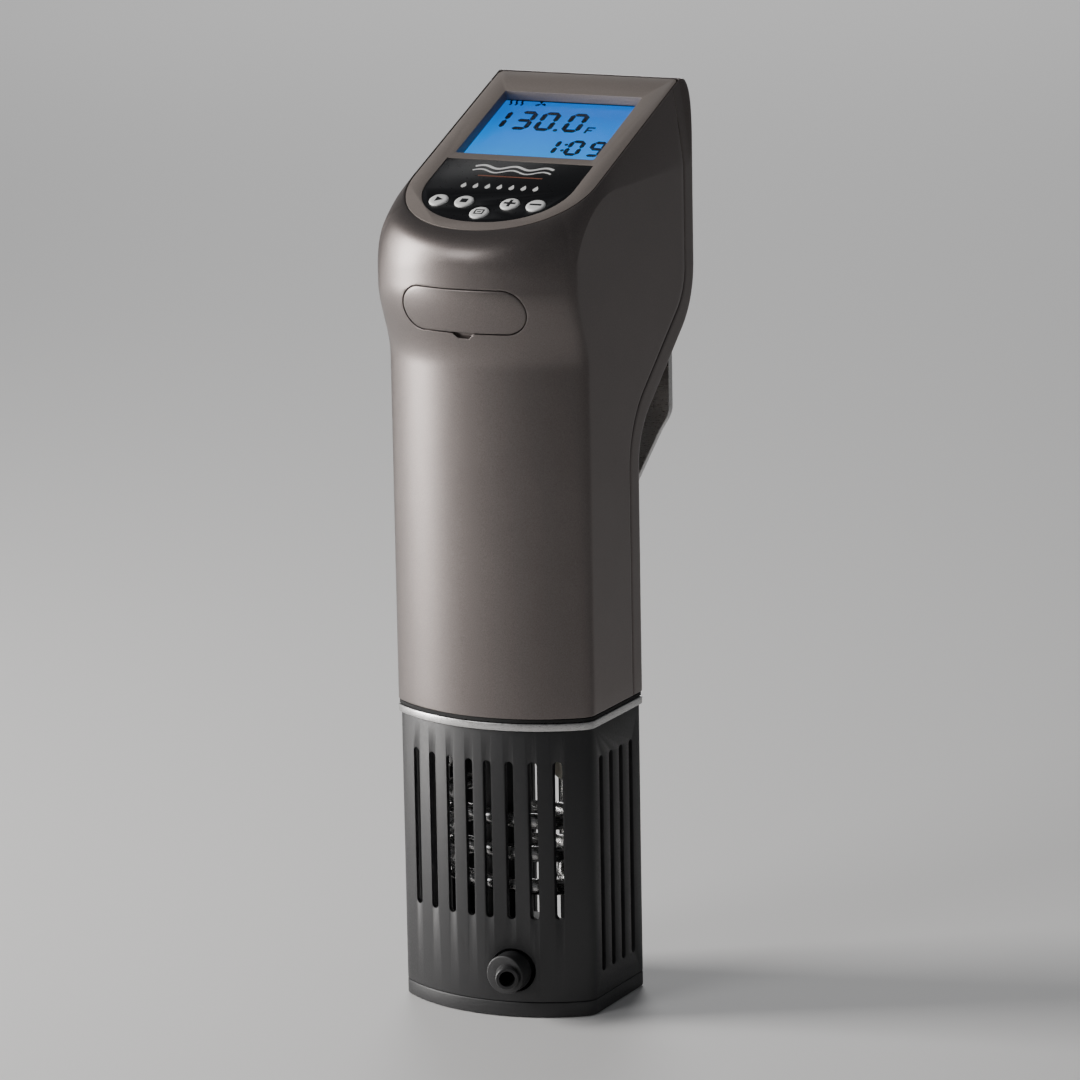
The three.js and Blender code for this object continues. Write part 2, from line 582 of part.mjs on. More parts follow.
function outletNozzle() {
  const collar = cut(rod(7.9, 8.4, 'y', 16).translate(0, -30.4, 0), rod(5.9, 6.2, 'y', 16).translate(0, -28.2, 0));
  const spout = rod(4.6, 9, 'y', 14).rotateZ(THREE.MathUtils.degToRad(205)).translate(-0.5, -26.5, 0);
  const bore = rod(3.1, 20, 'y', 14).rotateZ(THREE.MathUtils.degToRad(205)).translate(-0.5, -26, 0);
  const clear = rod(5.9, 6.2, 'y', 16).translate(0, -28.2, 0);
  return cut(join(collar, spout), clear, bore).translate(OUTLET.x, 0, OUTLET.z);
}

function heaterCoil() {
  const points = [];
  const { legX, legY, halfX, halfY, y, top, bottom, turns } = COIL;
  for (const z of [127, 117, 107, 98]) points.push([-legX, legY, z]);
  const steps = 12 * turns;
  const start = THREE.MathUtils.degToRad(118);
  for (let i = 0; i <= steps; i++) {
    const angle = start + (2 * Math.PI * turns + THREE.MathUtils.degToRad(-56)) * i / steps;
    points.push([halfX * Math.cos(angle), y + halfY * Math.sin(angle), lerp(top + 2, bottom, i / steps)]);
  }
  for (const z of [60, 74, 90, 104, 117, 127]) points.push([legX, legY, z]);
  const curve = new THREE.CatmullRomCurve3(points.map((p) => new THREE.Vector3(...p)), false, 'centripetal');
  const outline = [];
  for (let i = 0; i < 8; i++) {
    outline.push([COIL.radius * Math.cos(Math.PI / 4 * i), COIL.radius * Math.sin(Math.PI / 4 * i)]);
  }
  return new THREE.ExtrudeGeometry(shapeOf(outline), { steps: 66, extrudePath: curve, bevelEnabled: false });
}

const temperatureProbe = () => turned([[0, 91], [1.6, 91.6], [2.5, 93.5], [2.5, 111], [5, 111], [5, 116],
  [2.5, 116], [2.5, 128], [0, 128]], 16).translate(-SENSOR.x, SENSOR.y, 0);
const floatStem = () => turned([[0, 88], [1.8, 88], [1.8, 112], [5, 112], [5, 116], [2.5, 116], [2.5, 128],
  [0, 128]], 16).translate(SENSOR.x, SENSOR.y, 0);
const floatRing = () => turned([[2.3, 92.6], [6.6, 92.6], [7.5, 93.6], [7.5, 101.6], [6.6, 102.6],
  [2.3, 102.6]], 20).translate(SENSOR.x, SENSOR.y, 0);
const floatStop = () => ring(2.1, 4.2, 90, 91.8, 16).translate(SENSOR.x, SENSOR.y, 0);

// ---------------------------------------------------------------- clamp
function clampBracket() {
  const { half, front, thickness, low, high } = BRACKET;
  const outline = [[-half, high], [-half, 226], [-half + 4, 220], [-21, low + 6], [-15, low], [15, low],
    [21, low + 6], [half - 4, 220], [half, 226], [half, high]];
  const plate = frontPrism(outline, front, front + thickness);
  const boss = rod(9.5, 12, 'y', 20).translate(0, 72, CLAMP_Z);
  const hanger = box([-half, front - 7, high - 3], [half, front + 1, high]);
  return cut(join(plate, boss, hanger), rod(SCREW_RADIUS + 0.4, 40, 'y', 20).translate(0, 60, CLAMP_Z));
}

const clampScrew = () => turned([[0, 51.6], [3, 51.6], [4.5, 53], [4.5, 56], [SCREW_RADIUS, 57],
  [SCREW_RADIUS, 99.4], [0, 99.4]], 16, 'y').translate(0, 0, CLAMP_Z);

function clampKnob() {
  const lobes = [];
  for (let i = 0; i < 30; i++) {
    const angle = Math.PI / 15 * i;
    const radius = 13.6 + 1.2 * Math.cos(5 * angle);
    lobes.push([radius * Math.cos(angle), radius * Math.sin(angle)]);
  }
  const grip = frontPrism(lobes, 93, 105);
  const hub = rod(8, 3, 'y', 20).translate(0, 91.4, 0);
  return cut(join(grip, hub), rod(SCREW_RADIUS + 0.3, 9, 'y', 20).translate(0, 90.7, 0)).translate(0, 0, CLAMP_Z);
}

function clampPad() {
  const profile = [[0, 46], [12.4, 46], [13.4, 47], [13.4, 50], [7.6, 51], [7.6, 57.4], [4.2, 57.4],
    [4.9, 56.6], [4.9, 51.3], [0, 51.3]];
  return turned(profile, 20, 'y').translate(0, 0, CLAMP_Z);
}

const wallPad = () => box([-20, NECK_BACK + GAP, 186], [20, NECK_BACK + 1.8, 211]);

function coverScrew(x, z) {
  const shank = rod(1.25, 13, 'y', 10).translate(0, 73.4, 0);
  const head = cut(rod(3.1, 2.2, 'y', 14).translate(0, 86.3, 0), box([-2.2, 87.6, -0.4], [2.2, 90, 0.4]),
    box([-0.4, 87.6, -2.2], [0.4, 90, 2.2]));
  return join(head, shank).translate(x, 0, z);
}

// ---------------------------------------------------------------- assembly
const group = new THREE.Group();
const panel = new THREE.Group();
panel.position.set(0, PANEL_TOP_Y, HEIGHT);
panel.rotation.x = SLOPE;
group.add(panel);

const FINISHES = {
  pewter: ['#5d5552', 0.38, 0.55],
  bezel: ['#6b6360', 0.5, 0.3],
  black: ['#1a1a1b', 0.5, 0.05],
  gloss: ['#0b0b0c', 0.12, 0.0],
  white: ['#f2f2f0', 0.4, 0.0],
  clear: ['#c8d4da', 0.05, 0.0],
  lcd: ['#3f8fe0', 0.25, 0.0],
  board: ['#1f5a3a', 0.6, 0.0],
  steel: ['#b9bcc0', 0.28, 1.0],
  brass: ['#b98f4a', 0.35, 1.0],
  copper: ['#a8643c', 0.4, 0.8],
  aluminium: ['#a9adb2', 0.4, 0.9],
  rubber: ['#232425', 0.85, 0.0],
  ivory: ['#d9d6cc', 0.5, 0.0],
};

function add(name, geometry, finish, parent = group) {
  const [color, roughness, metalness] = FINISHES[finish];
  const mesh = new THREE.Mesh(geometry, new THREE.MeshStandardMaterial({ color, roughness, metalness }));
  mesh.name = name;
  parent.add(mesh);
}

add('main_housing', mainHousing(), 'pewter');
add('rear_cover', rearCover(), 'pewter');
add('badge_plate', badgePlate(), 'pewter');
add('display_bezel', displayBezel(), 'bezel', panel);
add('control_overlay', controlOverlay(), 'gloss', panel);
add('display_lens', displayLens(), 'clear', panel);
add('lcd_panel', lcdPanel(), 'lcd', panel);
add('backlight_frame', backlightFrame(), 'white', panel);
add('display_board', displayBoard(), 'board', panel);
add('switch_mat', switchMat(), 'rubber', panel);
for (const [name, place] of Object.entries(BUTTONS)) add(`button_${name}`, button(place), 'white', panel);

add('main_board', mainBoard(), 'board');
add('transformer', transformer(), 'copper');
add('triac_heatsink', heatsink(), 'aluminium');
add('relay', relay(), 'black');
add('capacitor', capacitor(), 'black');
add('power_inlet', powerInlet(), 'black');
add('inlet_pin_live', inletPin(-7, -1.6), 'brass');
add('inlet_pin_neutral', inletPin(7, -1.6), 'brass');
add('inlet_pin_earth', inletPin(0, 2.4), 'brass');
add('rocker_frame', rockerFrame(), 'black');
add('rocker_key', rockerKey(), 'black');

add('motor_can', motorCan(), 'steel');
add('motor_end_bell', motorEndBell(), 'aluminium');
add('stator_core', statorCore(), 'copper');
add('rotor_core', rotorCore(), 'steel');
add('upper_bearing', bearing(176.5), 'steel');
add('lower_bearing', bearing(125), 'steel');
add('shaft_seal', shaftSeal(), 'rubber');
add('drive_shaft', driveShaft(), 'steel');
add('cooling_fan', coolingFan(), 'ivory');
add('impeller', impeller(), 'ivory');

add('bulkhead', bulkhead(), 'steel');
add('neck_gasket', gasket(), 'rubber');
add('pump_cage', pumpCage(), 'black');
add('cage_base', cageBase(), 'black');
add('pump_column', pumpColumn(), 'black');
add('pump_volute', pumpVolute(), 'black');
add('outlet_nozzle', outletNozzle(), 'black');
add('heater_coil', heaterCoil(), 'steel');
add('temperature_probe', temperatureProbe(), 'steel');
add('float_stem', floatStem(), 'steel');
add('float_ring', floatRing(), 'ivory');
add('float_stop', floatStop(), 'steel');

add('clamp_bracket', clampBracket(), 'steel');
add('clamp_screw', clampScrew(), 'steel');
add('clamp_knob', clampKnob(), 'black');
add('clamp_pad', clampPad(), 'rubber');
add('wall_pad', wallPad(), 'rubber');
SCREW_POSTS.forEach(([x, z], i) => {
  add(`cover_screw_right_${i + 1}`, coverScrew(x, z), 'steel');
  add(`cover_screw_left_${i + 1}`, coverScrew(-x, z), 'steel');
});

export default group;
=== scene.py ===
"""Looks of the sous vide circulator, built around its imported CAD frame. Helpers count in millimetres."""
from math import asin, atan, cos, hypot, pi, radians, sin, sqrt, tan
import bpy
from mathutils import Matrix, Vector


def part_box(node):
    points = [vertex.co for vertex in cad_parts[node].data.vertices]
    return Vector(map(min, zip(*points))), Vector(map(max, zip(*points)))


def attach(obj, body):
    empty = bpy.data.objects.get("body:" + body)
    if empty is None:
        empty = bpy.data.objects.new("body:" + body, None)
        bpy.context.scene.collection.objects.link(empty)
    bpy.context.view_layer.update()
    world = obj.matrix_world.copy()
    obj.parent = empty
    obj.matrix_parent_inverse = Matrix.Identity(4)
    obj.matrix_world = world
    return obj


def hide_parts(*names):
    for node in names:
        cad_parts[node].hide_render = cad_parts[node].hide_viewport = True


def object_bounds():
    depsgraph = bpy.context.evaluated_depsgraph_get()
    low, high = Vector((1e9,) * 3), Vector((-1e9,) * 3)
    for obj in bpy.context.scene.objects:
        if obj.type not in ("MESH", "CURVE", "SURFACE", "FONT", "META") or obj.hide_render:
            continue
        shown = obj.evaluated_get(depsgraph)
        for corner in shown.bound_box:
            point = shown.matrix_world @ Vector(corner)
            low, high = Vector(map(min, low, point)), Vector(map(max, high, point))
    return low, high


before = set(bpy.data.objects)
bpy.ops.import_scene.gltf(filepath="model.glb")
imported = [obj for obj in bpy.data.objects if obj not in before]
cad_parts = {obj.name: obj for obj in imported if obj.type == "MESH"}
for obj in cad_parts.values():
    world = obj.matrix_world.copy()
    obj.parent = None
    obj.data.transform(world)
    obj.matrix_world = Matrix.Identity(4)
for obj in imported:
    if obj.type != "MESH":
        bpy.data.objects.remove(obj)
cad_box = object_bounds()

from types import SimpleNamespace

import bmesh
import bpy
from mathutils import Matrix, Vector

MM = 0.001
scene = bpy.context.scene


def span(node):
    """The lowest and highest corners of a CAD node's box, in millimetres."""
    return [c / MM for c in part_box(node)]


# ---------------------------------------------------------------- sizes
HEIGHT = span("rear_cover")[1].z
HALF_WIDTH = span("main_housing")[1].x
HEAD_FRONT = span("main_housing")[0].y
HEAD_BACK = span("rear_cover")[1].y
NECK_BOTTOM = span("main_housing")[0].z
NECK_FRONT = span("bulkhead")[0].y
NECK_BACK = span("bulkhead")[1].y
WALL = 2.2
SLOPE = radians(22.5)
PANEL_TOP_Y = HEAD_BACK - 6
FRONT_RADIUS = 66.4
FRONT_STEP = (260.0, 291.0)
NECK_FILLET, HEAD_FILLET = 30.0, 32.0
UNDERSIDE = radians(40)
NECK_TOP = 212.0
SEAM, SEAM_GAP = 10.0, 0.28
BEZEL_HALF, BEZEL_ARC_START, BEZEL_LENGTH, BEZEL_POWER = 40.2, 82.0, 120.6, 2.15
CHEEK_RADIUS, CHEEK_TOP, CHEEK_TAN, CHEEK_FRONT = 40.0, (81.6, 355.6), 0.431, -19.6
CHEEK_FADE = (60.0, 2.0)
REAR_EDGE_Z = 355.5
PANEL_CORNER = 1.0
FRONT_CORNER, BACK_CORNER = 3.4, 3.0
WINDOW = dict(half=30.2, top=16.1, bottom=64.4)
OVERLAY = dict(half=31.7, top=68.6, arc=86.0, length=113.8)
BUTTONS = dict(play=(-21, 99.9), stop=(-9.9, 99.9), plus=(9.9, 99.9), minus=(21, 99.9), menu=(0, 107.3))
BUTTON_RADIUS = 3.96
BADGE = dict(half=26.4, low=274.6, high=292.3)
BADGE_TAB = dict(top=4.6, bottom=2.4, depth=2.0)
COIL = dict(radius=3.2, half_x=29, half_y=20, y=6, top=82, bottom=46, turns=3, leg_x=12, leg_y=31.5)
SENSOR = (27, 6)
CLAMP_Z = 203
CLAMP_AXIS = (0, 0, CLAMP_Z)
SCREW_POSTS = ((36.3, 334), (36.3, 298))
INLET = dict(x=-13, z=318, half=13.7, height=10.2)
ROCKER = dict(x=22, z=318, half=6.4, height=9.4, y=90.6)
OUTLET_AXIS = (13, 0, 19)
FLOOR = 25.0


# ---------------------------------------------------------------- materials
def add_node(tree, kind, values=None, links=None):
    """A new shader node with its numbers set and its inputs joined to other nodes' outputs."""
    made = tree.nodes.new("ShaderNode" + kind)
    for name, value in (values or {}).items():
        made.inputs[name].default_value = value
    for name, source in (links or {}).items():
        tree.links.new(source, made.inputs[name])
    return made


def shade(name, color, metallic=0.0, rough=0.5, coat=0.0, specular=0.5):
    """A principled material with its shader and node tree, ready for texture nodes."""
    material = bpy.data.materials.new(name)
    material.use_nodes = True
    tree = material.node_tree
    shader = tree.nodes["Principled BSDF"]
    values = {"Base Color": (*color, 1), "Metallic": metallic, "Roughness": rough, "Coat Weight": coat,
              "Coat Roughness": 0.12, "Specular IOR Level": specular}
    for socket, value in values.items():
        shader.inputs[socket].default_value = value
    return material, tree, shader


def noise(tree, scale, detail=3.0, stretch=(1, 1, 1)):
    """A noise texture over the object's own coordinates, in metres."""
    place = add_node(tree, "TexCoord").outputs["Object"]
    mapping = add_node(tree, "Mapping", {"Scale": stretch}, {"Vector": place})
    values = {"Scale": scale, "Detail": detail, "Roughness": 0.55}
    return add_node(tree, "TexNoise", values, {"Vector": mapping.outputs["Vector"]}).outputs["Fac"]


def generated(tree, axis):
    """One of the coordinates that run from 0 to 1 across an object, or round the world."""
    place = add_node(tree, "TexCoord").outputs["Generated"]
    return add_node(tree, "SeparateXYZ", links={"Vector": place}).outputs[axis]


def ramp(tree, source, stops):
    made = add_node(tree, "ValToRGB", links={"Fac": source})
    elements = made.color_ramp.elements
    while len(elements) < len(stops):
        elements.new(0.5)
    for element, (position, color) in zip(elements, stops):
        element.position = position
        element.color = (*color, 1)
    return made.outputs["Color"]


def spread(tree, source, low, high):
    values = {"From Min": 0.3, "From Max": 0.7, "To Min": low, "To Max": high}
    return add_node(tree, "MapRange", values, {"Value": source}).outputs["Result"]


def bump(tree, shader, height, strength, distance):
    made = add_node(tree, "Bump", {"Strength": strength, "Distance": distance}, {"Height": height})
    tree.links.new(made.outputs["Normal"], shader.inputs["Normal"])


def tinted(color, amount):
    return tuple(max(0.0, min(1.0, c * amount)) for c in color)


def surface(name, color, metallic, rough, grain, grain_bump, vary=0.12, coat=0.0, stretch=(1, 1, 1),
            rough_spread=0.05, specular=0.5):
    """A finish whose colour, roughness and height vary with its grain."""
    material, tree, shader = shade(name, color, metallic, rough, coat, specular=specular)
    fine = noise(tree, grain, 4.0, stretch)
    broad = noise(tree, 28.0, 2.0)
    mix = tree.nodes.new("ShaderNodeMix")
    mix.data_type = "RGBA"
    mix.blend_type = "MULTIPLY"
    mix.inputs["Factor"].default_value = 1.0
    tree.links.new(ramp(tree, fine, [(0.3, tinted(color, 1 - vary)), (0.7, tinted(color, 1 + vary))]),
                   mix.inputs["A"])
    tree.links.new(ramp(tree, broad, [(0.35, (0.95,) * 3), (0.65, (1.0,) * 3)]), mix.inputs["B"])
    tree.links.new(mix.outputs["Result"], shader.inputs["Base Color"])
    tree.links.new(spread(tree, fine, rough - rough_spread, rough + rough_spread), shader.inputs["Roughness"])
    if grain_bump:
        bump(tree, shader, fine, 1.0, grain_bump)
    return material


def lcd_material():
    """The lit display: blue, a little deeper along its upper edge and softly uneven."""
    material, tree, shader = shade("lcd_lit", (0.005, 0.03, 0.08), 0, 0.4)
    add = add_node(tree, "Math")
    add.operation = "MULTIPLY_ADD"
    add.inputs[1].default_value = 0.25
    tree.links.new(noise(tree, 60.0, 2.0), add.inputs[0])
    tree.links.new(generated(tree, "Y"), add.inputs[2])
    color = ramp(tree, add.outputs["Value"], [
        (0.1, (0.015, 0.38, 1.0)), (0.55, (0.002, 0.27, 1.0)), (0.95, (0.0, 0.17, 0.75))])
    tree.links.new(color, shader.inputs["Emission Color"])
    shader.inputs["Emission Strength"].default_value = 0.95
    return material


def glass_material():
    material, _, shader = shade("window_glass", (1, 1, 1), 0, 0.03)
    shader.inputs["Transmission Weight"].default_value = 1.0
    shader.inputs["IOR"].default_value = 1.12
    return material


PEWTER = (0.17, 0.149, 0.142)
M = SimpleNamespace(
    pewter=surface("pewter_paint", PEWTER, 0.85, 0.36, 2600, 0.000004, 0.16, coat=0.06),
    bezel=surface("bezel_satin", (0.23, 0.2, 0.183), 0.3, 0.5, 1800, 0.000008, 0.1),
    gloss=surface("overlay_gloss", (0.004, 0.004, 0.005), 0.0, 0.3, 900, 0.0, 0.3, coat=0.1, rough_spread=0.03,
                  specular=0.25),
    key=surface("key_white", (0.8, 0.8, 0.79), 0.0, 0.38, 1500, 0.000003, 0.04),
    ink_black=surface("ink_black", (0.008, 0.008, 0.01), 0.0, 0.45, 1500, 0.0, 0.2),
    ink_white=surface("ink_white", (0.75, 0.75, 0.74), 0.0, 0.4, 1500, 0.0, 0.05),
    ink_copper=surface("ink_copper", (0.32, 0.12, 0.075), 0.3, 0.4, 1500, 0.0, 0.15),
    lcd=lcd_material(),
    segment=surface("lcd_segment", (0.004, 0.008, 0.02), 0.0, 0.3, 1200, 0.0, 0.3),
    glass=glass_material(),
    black=surface("moulded_black", (0.016, 0.016, 0.017), 0.0, 0.48, 1400, 0.00003, 0.2, rough_spread=0.08),
    soft_black=surface("rubber_black", (0.013, 0.013, 0.013), 0.0, 0.78, 900, 0.00003, 0.25, specular=0.3),
    steel=surface("brushed_steel", (0.52, 0.515, 0.51), 1.0, 0.3, 500, 0.000006, 0.12, stretch=(1, 1, 9)),
    turned_steel=surface("turned_steel", (0.5, 0.495, 0.49), 1.0, 0.26, 1500, 0.000004, 0.1, stretch=(0.4, 0.4, 3)),
    brass=surface("pin_brass", (0.62, 0.45, 0.2), 1.0, 0.28, 1200, 0.000004, 0.12),
    copper=surface("winding_copper", (0.45, 0.17, 0.07), 0.8, 0.4, 1600, 0.00004, 0.3, stretch=(0.2, 0.2, 6)),
    aluminium=surface("heatsink_aluminium", (0.55, 0.56, 0.57), 1.0, 0.4, 900, 0.000008, 0.1),
    board=surface("board_green", (0.02, 0.11, 0.05), 0.0, 0.4, 350, 0.00002, 0.35, coat=0.3),
    ivory=surface("nylon_ivory", (0.62, 0.59, 0.5), 0.0, 0.42, 800, 0.00001, 0.08),
    diffuser=surface("diffuser_white", (0.8, 0.8, 0.8), 0.0, 0.5, 700, 0.0, 0.04),
    dark=surface("recess_dark", (0.01, 0.01, 0.01), 0.0, 0.6, 900, 0.0, 0.2),
)

CAD_FINISH = {
    "board": ["display_board", "main_board"],
    "copper": ["transformer", "stator_core"],
    "aluminium": ["triac_heatsink", "motor_end_bell"],
    "turned_steel": ["motor_can", "rotor_core", "upper_bearing", "lower_bearing", "drive_shaft"],
    "black": ["relay", "capacitor"],
    "ivory": ["cooling_fan", "impeller"],
    "soft_black": ["switch_mat", "shaft_seal"],
    "diffuser": ["backlight_frame"],
}


# ---------------------------------------------------------------- mesh helpers
def piece(name, points, faces, material, smooth=40, matrix=None):
    """A mesh object from millimetre points. Edges sharper than the smooth angle, in degrees, stay crisp."""
    mesh = bpy.data.meshes.new(name)
    placed = [(matrix @ Vector(p) if matrix else Vector(p)) * MM for p in points]
    mesh.from_pydata(placed, [], faces)
    obj = bpy.data.objects.new(name, mesh)
    scene.collection.objects.link(obj)
    mesh.materials.append(material)
    tidy(obj)
    soften(obj, smooth)
    return obj


def tidy(obj):
    bm = bmesh.new()
    bm.from_mesh(obj.data)
    bmesh.ops.remove_doubles(bm, verts=bm.verts, dist=1e-7)
    bmesh.ops.recalc_face_normals(bm, faces=bm.faces)
    bm.to_mesh(obj.data)
    bm.free()


def soften(obj, angle):
    obj.data.polygons.foreach_set("use_smooth", [True] * len(obj.data.polygons))
    bm = bmesh.new()
    bm.from_mesh(obj.data)
    limit = radians(angle)
    for edge in bm.edges:
        edge.smooth = not (len(edge.link_faces) == 2 and edge.calc_face_angle(0) > limit)
    bm.to_mesh(obj.data)
    bm.free()


def apply_modifiers(obj):
    evaluated = obj.evaluated_get(bpy.context.evaluated_depsgraph_get())
    mesh = bpy.data.meshes.new_from_object(evaluated)
    old = obj.data
    obj.modifiers.clear()
    obj.data = mesh
    bpy.data.meshes.remove(old)
    return obj


def bevel(obj, width, segments=2, angle=35, smooth=40):
    modifier = obj.modifiers.new("bevel", "BEVEL")
    modifier.width = width * MM
    modifier.segments = segments
    modifier.limit_method = "ANGLE"
    modifier.angle_limit = radians(angle)
    modifier.harden_normals = False
    apply_modifiers(obj)
    soften(obj, smooth)
    return obj


def combine(obj, others, how, smooth=40):
    """Joins or cuts a piece with others, which are used up."""
    for other in others:
        modifier = obj.modifiers.new("solid", "BOOLEAN")
        modifier.operation = how
        modifier.solver = "EXACT"
        modifier.object = other
        apply_modifiers(obj)
        bpy.data.objects.remove(other)
    soften(obj, smooth)
    return obj


def move(obj, matrix):
    """Moves a mesh by a matrix that counts in millimetres."""
    obj.data.transform(Matrix.Scale(MM, 4) @ matrix @ Matrix.Scale(1 / MM, 4))


def cut(obj, *others, smooth=40):
    return combine(obj, others, "DIFFERENCE", smooth)


def join(obj, *others, smooth=40):
    return combine(obj, others, "UNION", smooth)


def grouped(name, objects):
    """One object that holds several separate solids."""
    bm = bmesh.new()
    materials = []
    for obj in objects:
        start = len(bm.faces)
        bm.from_mesh(obj.data)
        bm.faces.ensure_lookup_table()
        for material in obj.data.materials:
            if material not in materials:
                materials.append(material)
        index = materials.index(obj.data.materials[0])
        for face in bm.faces[start:]:
            face.material_index = index
    mesh = bpy.data.meshes.new(name)
    bm.to_mesh(mesh)
    bm.free()
    for obj in objects:
        bpy.data.objects.remove(obj)
    merged = bpy.data.objects.new(name, mesh)
    for material in materials:
        mesh.materials.append(material)
    scene.collection.objects.link(merged)
    return merged


def place(obj, slot, node=None, body="casing"):
    """Rides a finished piece on its body, in place of a CAD node where one is named."""
    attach(obj, body)
    if node:
        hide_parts(node)


def ring_faces(rings, sides, capped=True):
    """The faces between stacked rings of points, and over the first and last."""
    faces = []
    for j in range(rings - 1):
        for i in range(sides):
            a, b = j * sides + i, j * sides + (i + 1) % sides
            faces.append((a, b, b + sides, a + sides))
    if capped:
        last = (rings - 1) * sides
        faces += [tuple(range(sides))[::-1], tuple(range(last, last + sides))]
    return faces


def grid_faces(rows, columns, offset=0, flip=False):
    faces = []
    for j in range(rows - 1):
        for i in range(columns - 1):
            a = offset + j * columns + i
            face = (a, a + 1, a + columns + 1, a + columns)
            faces.append(face[::-1] if flip else face)
    return faces


def turned(name, profile, material, centre=(0, 0, 0), axis="z", sides=64, smooth=40):
    """A turned piece from a [radius, height] profile; the ends lie on the axis or the profile closes."""
    closed = profile[0][0] > 0
    points, faces, rings = [], [], []
    for radius, height in profile:
        if radius == 0:
            rings.append([len(points)] * sides)
            points.append((0, 0, height))
            continue
        rings.append(list(range(len(points), len(points) + sides)))
        for i in range(sides):
            angle = 2 * pi * i / sides
            points.append((radius * cos(angle), radius * sin(angle), height))
    pairs = list(zip(rings, rings[1:])) + ([(rings[-1], rings[0])] if closed else [])
    for low, high in pairs:
        for i in range(sides):
            k = (i + 1) % sides
            face = list(dict.fromkeys([low[i], low[k], high[k], high[i]]))
            if len(face) > 2:
                faces.append(face)
    turn = Matrix.Rotation(-pi / 2, 4, "X") if axis == "y" else Matrix()
    return piece(name, points, faces, material, smooth, Matrix.Translation(centre) @ turn)


def rounded(points, radius, steps=3, closed=True):
    """The outline with its corners rounded; an open one keeps its two ends."""
    result = []
    for i, p in enumerate(points):
        if not closed and i in (0, len(points) - 1):
            result.append(p)
            continue
        here = Vector(p)
        before, after = Vector(points[i - 1]) - here, Vector(points[(i + 1) % len(points)]) - here
        size = min(radius, before.length * 0.45, after.length * 0.45)
        start, end = here + before.normalized() * size, here + after.normalized() * size
        result += [tuple(start), *bend(start, here, end, steps)]
    return result


def lathe(name, profile, material, centre=(0, 0, 0), axis="z", edge=0.4, sides=64):
    outline = rounded(profile, edge, closed=profile[0][0] > 0)
    return turned(name, outline, material, centre, axis, sides)


def prism(name, outline, low, high, material, matrix=None, smooth=40):
    """A slab with the given outline, from z = low to z = high, before the matrix."""
    points = [(x, y, z) for z in (low, high) for x, y in outline]
    return piece(name, points, ring_faces(2, len(outline)), material, smooth, matrix)


def block(name, low, high, material):
    return prism(name, rectangle(low[0], low[1], high[0], high[1]), low[2], high[2], material)


def rod(name, radius, low, high, material, centre=(0, 0, 0), axis="z", sides=48):
    return turned(name, [(0, low), (radius, low), (radius, high), (0, high)], material, centre, axis, sides)


def tube(name, path, radius, material, sides=16):
    """A round bar along a path, with frames carried from point to point."""
    normal = Vector((1, 0, 0))
    points = []
    for i, here in enumerate(path):
        along = (path[min(i + 1, len(path) - 1)] - path[max(i - 1, 0)]).normalized()
        normal = (normal - along * normal.dot(along)).normalized()
        side = along.cross(normal)
        points += [here + normal * x + side * y for x, y in circle(radius, sides=sides)]
    return piece(name, points, ring_faces(len(path), sides), material, 50)


def arc_points(radius, centre, start, sweep, steps):
    """Points of an arc with both its ends, its angles in degrees."""
    angles = [radians(start + sweep * i / steps) for i in range(steps + 1)]
    return [(centre[0] + radius * cos(a), centre[1] + radius * sin(a)) for a in angles]


def rectangle(left, low, right, high):
    return [(left, low), (right, low), (right, high), (left, high)]


def round_rectangle(half_x, half_y, radius, centre=(0, 0), steps=6):
    points = []
    for sx, sy, start in ((1, -1, -90), (1, 1, 0), (-1, 1, 90), (-1, -1, 180)):
        middle = (centre[0] + sx * (half_x - radius), centre[1] + sy * (half_y - radius))
        points += arc_points(radius, middle, start, 90, steps)
    return points


def circle(radius, centre=(0, 0), sides=48):
    return arc_points(radius, centre, 0, 360, sides)[:-1]


def lerp(a, b, t):
    return a + (b - a) * t


def smoothstep(value, low, high):
    t = max(0.0, min(1.0, (value - low) / (high - low)))
    return t * t * (3 - 2 * t)


def bend(start, control, end, steps):
    """Points of a quadratic curve after its start."""
    result = []
    for i in range(1, steps + 1):
        t = i / steps
        result.append(tuple(start[k] * (1 - t) ** 2 + control[k] * 2 * t * (1 - t) + end[k] * t ** 2
                            for k in range(len(start))))
    return result


def facing_front(y):
    """Places a slab drawn in X and Z so that its top faces the front at y."""
    return Matrix.Translation((0, y, 0)) @ Matrix.Rotation(pi / 2, 4, "X")


def facing_back(y):
    """Places a slab drawn in X and Z so that it grows towards the back from y; the outline is kept."""
    return Matrix.Translation((0, y, 0)) @ Matrix(((1, 0, 0, 0), (0, 0, 1, 0), (0, 1, 0, 0), (0, 0, 0, 1)))


SIDEWAYS = Matrix(((0, 0, 1, 0), (1, 0, 0, 0), (0, 1, 0, 0), (0, 0, 0, 1)))
ON_PANEL = Matrix.Translation((0, PANEL_TOP_Y, HEIGHT)) @ Matrix.Rotation(SLOPE, 4, "X")


# ---------------------------------------------------------------- the body's outer surface
def plane_z(y):
    return HEIGHT - (PANEL_TOP_Y - y) * tan(SLOPE)


def panel_y(down):
    return PANEL_TOP_Y - down * cos(SLOPE)


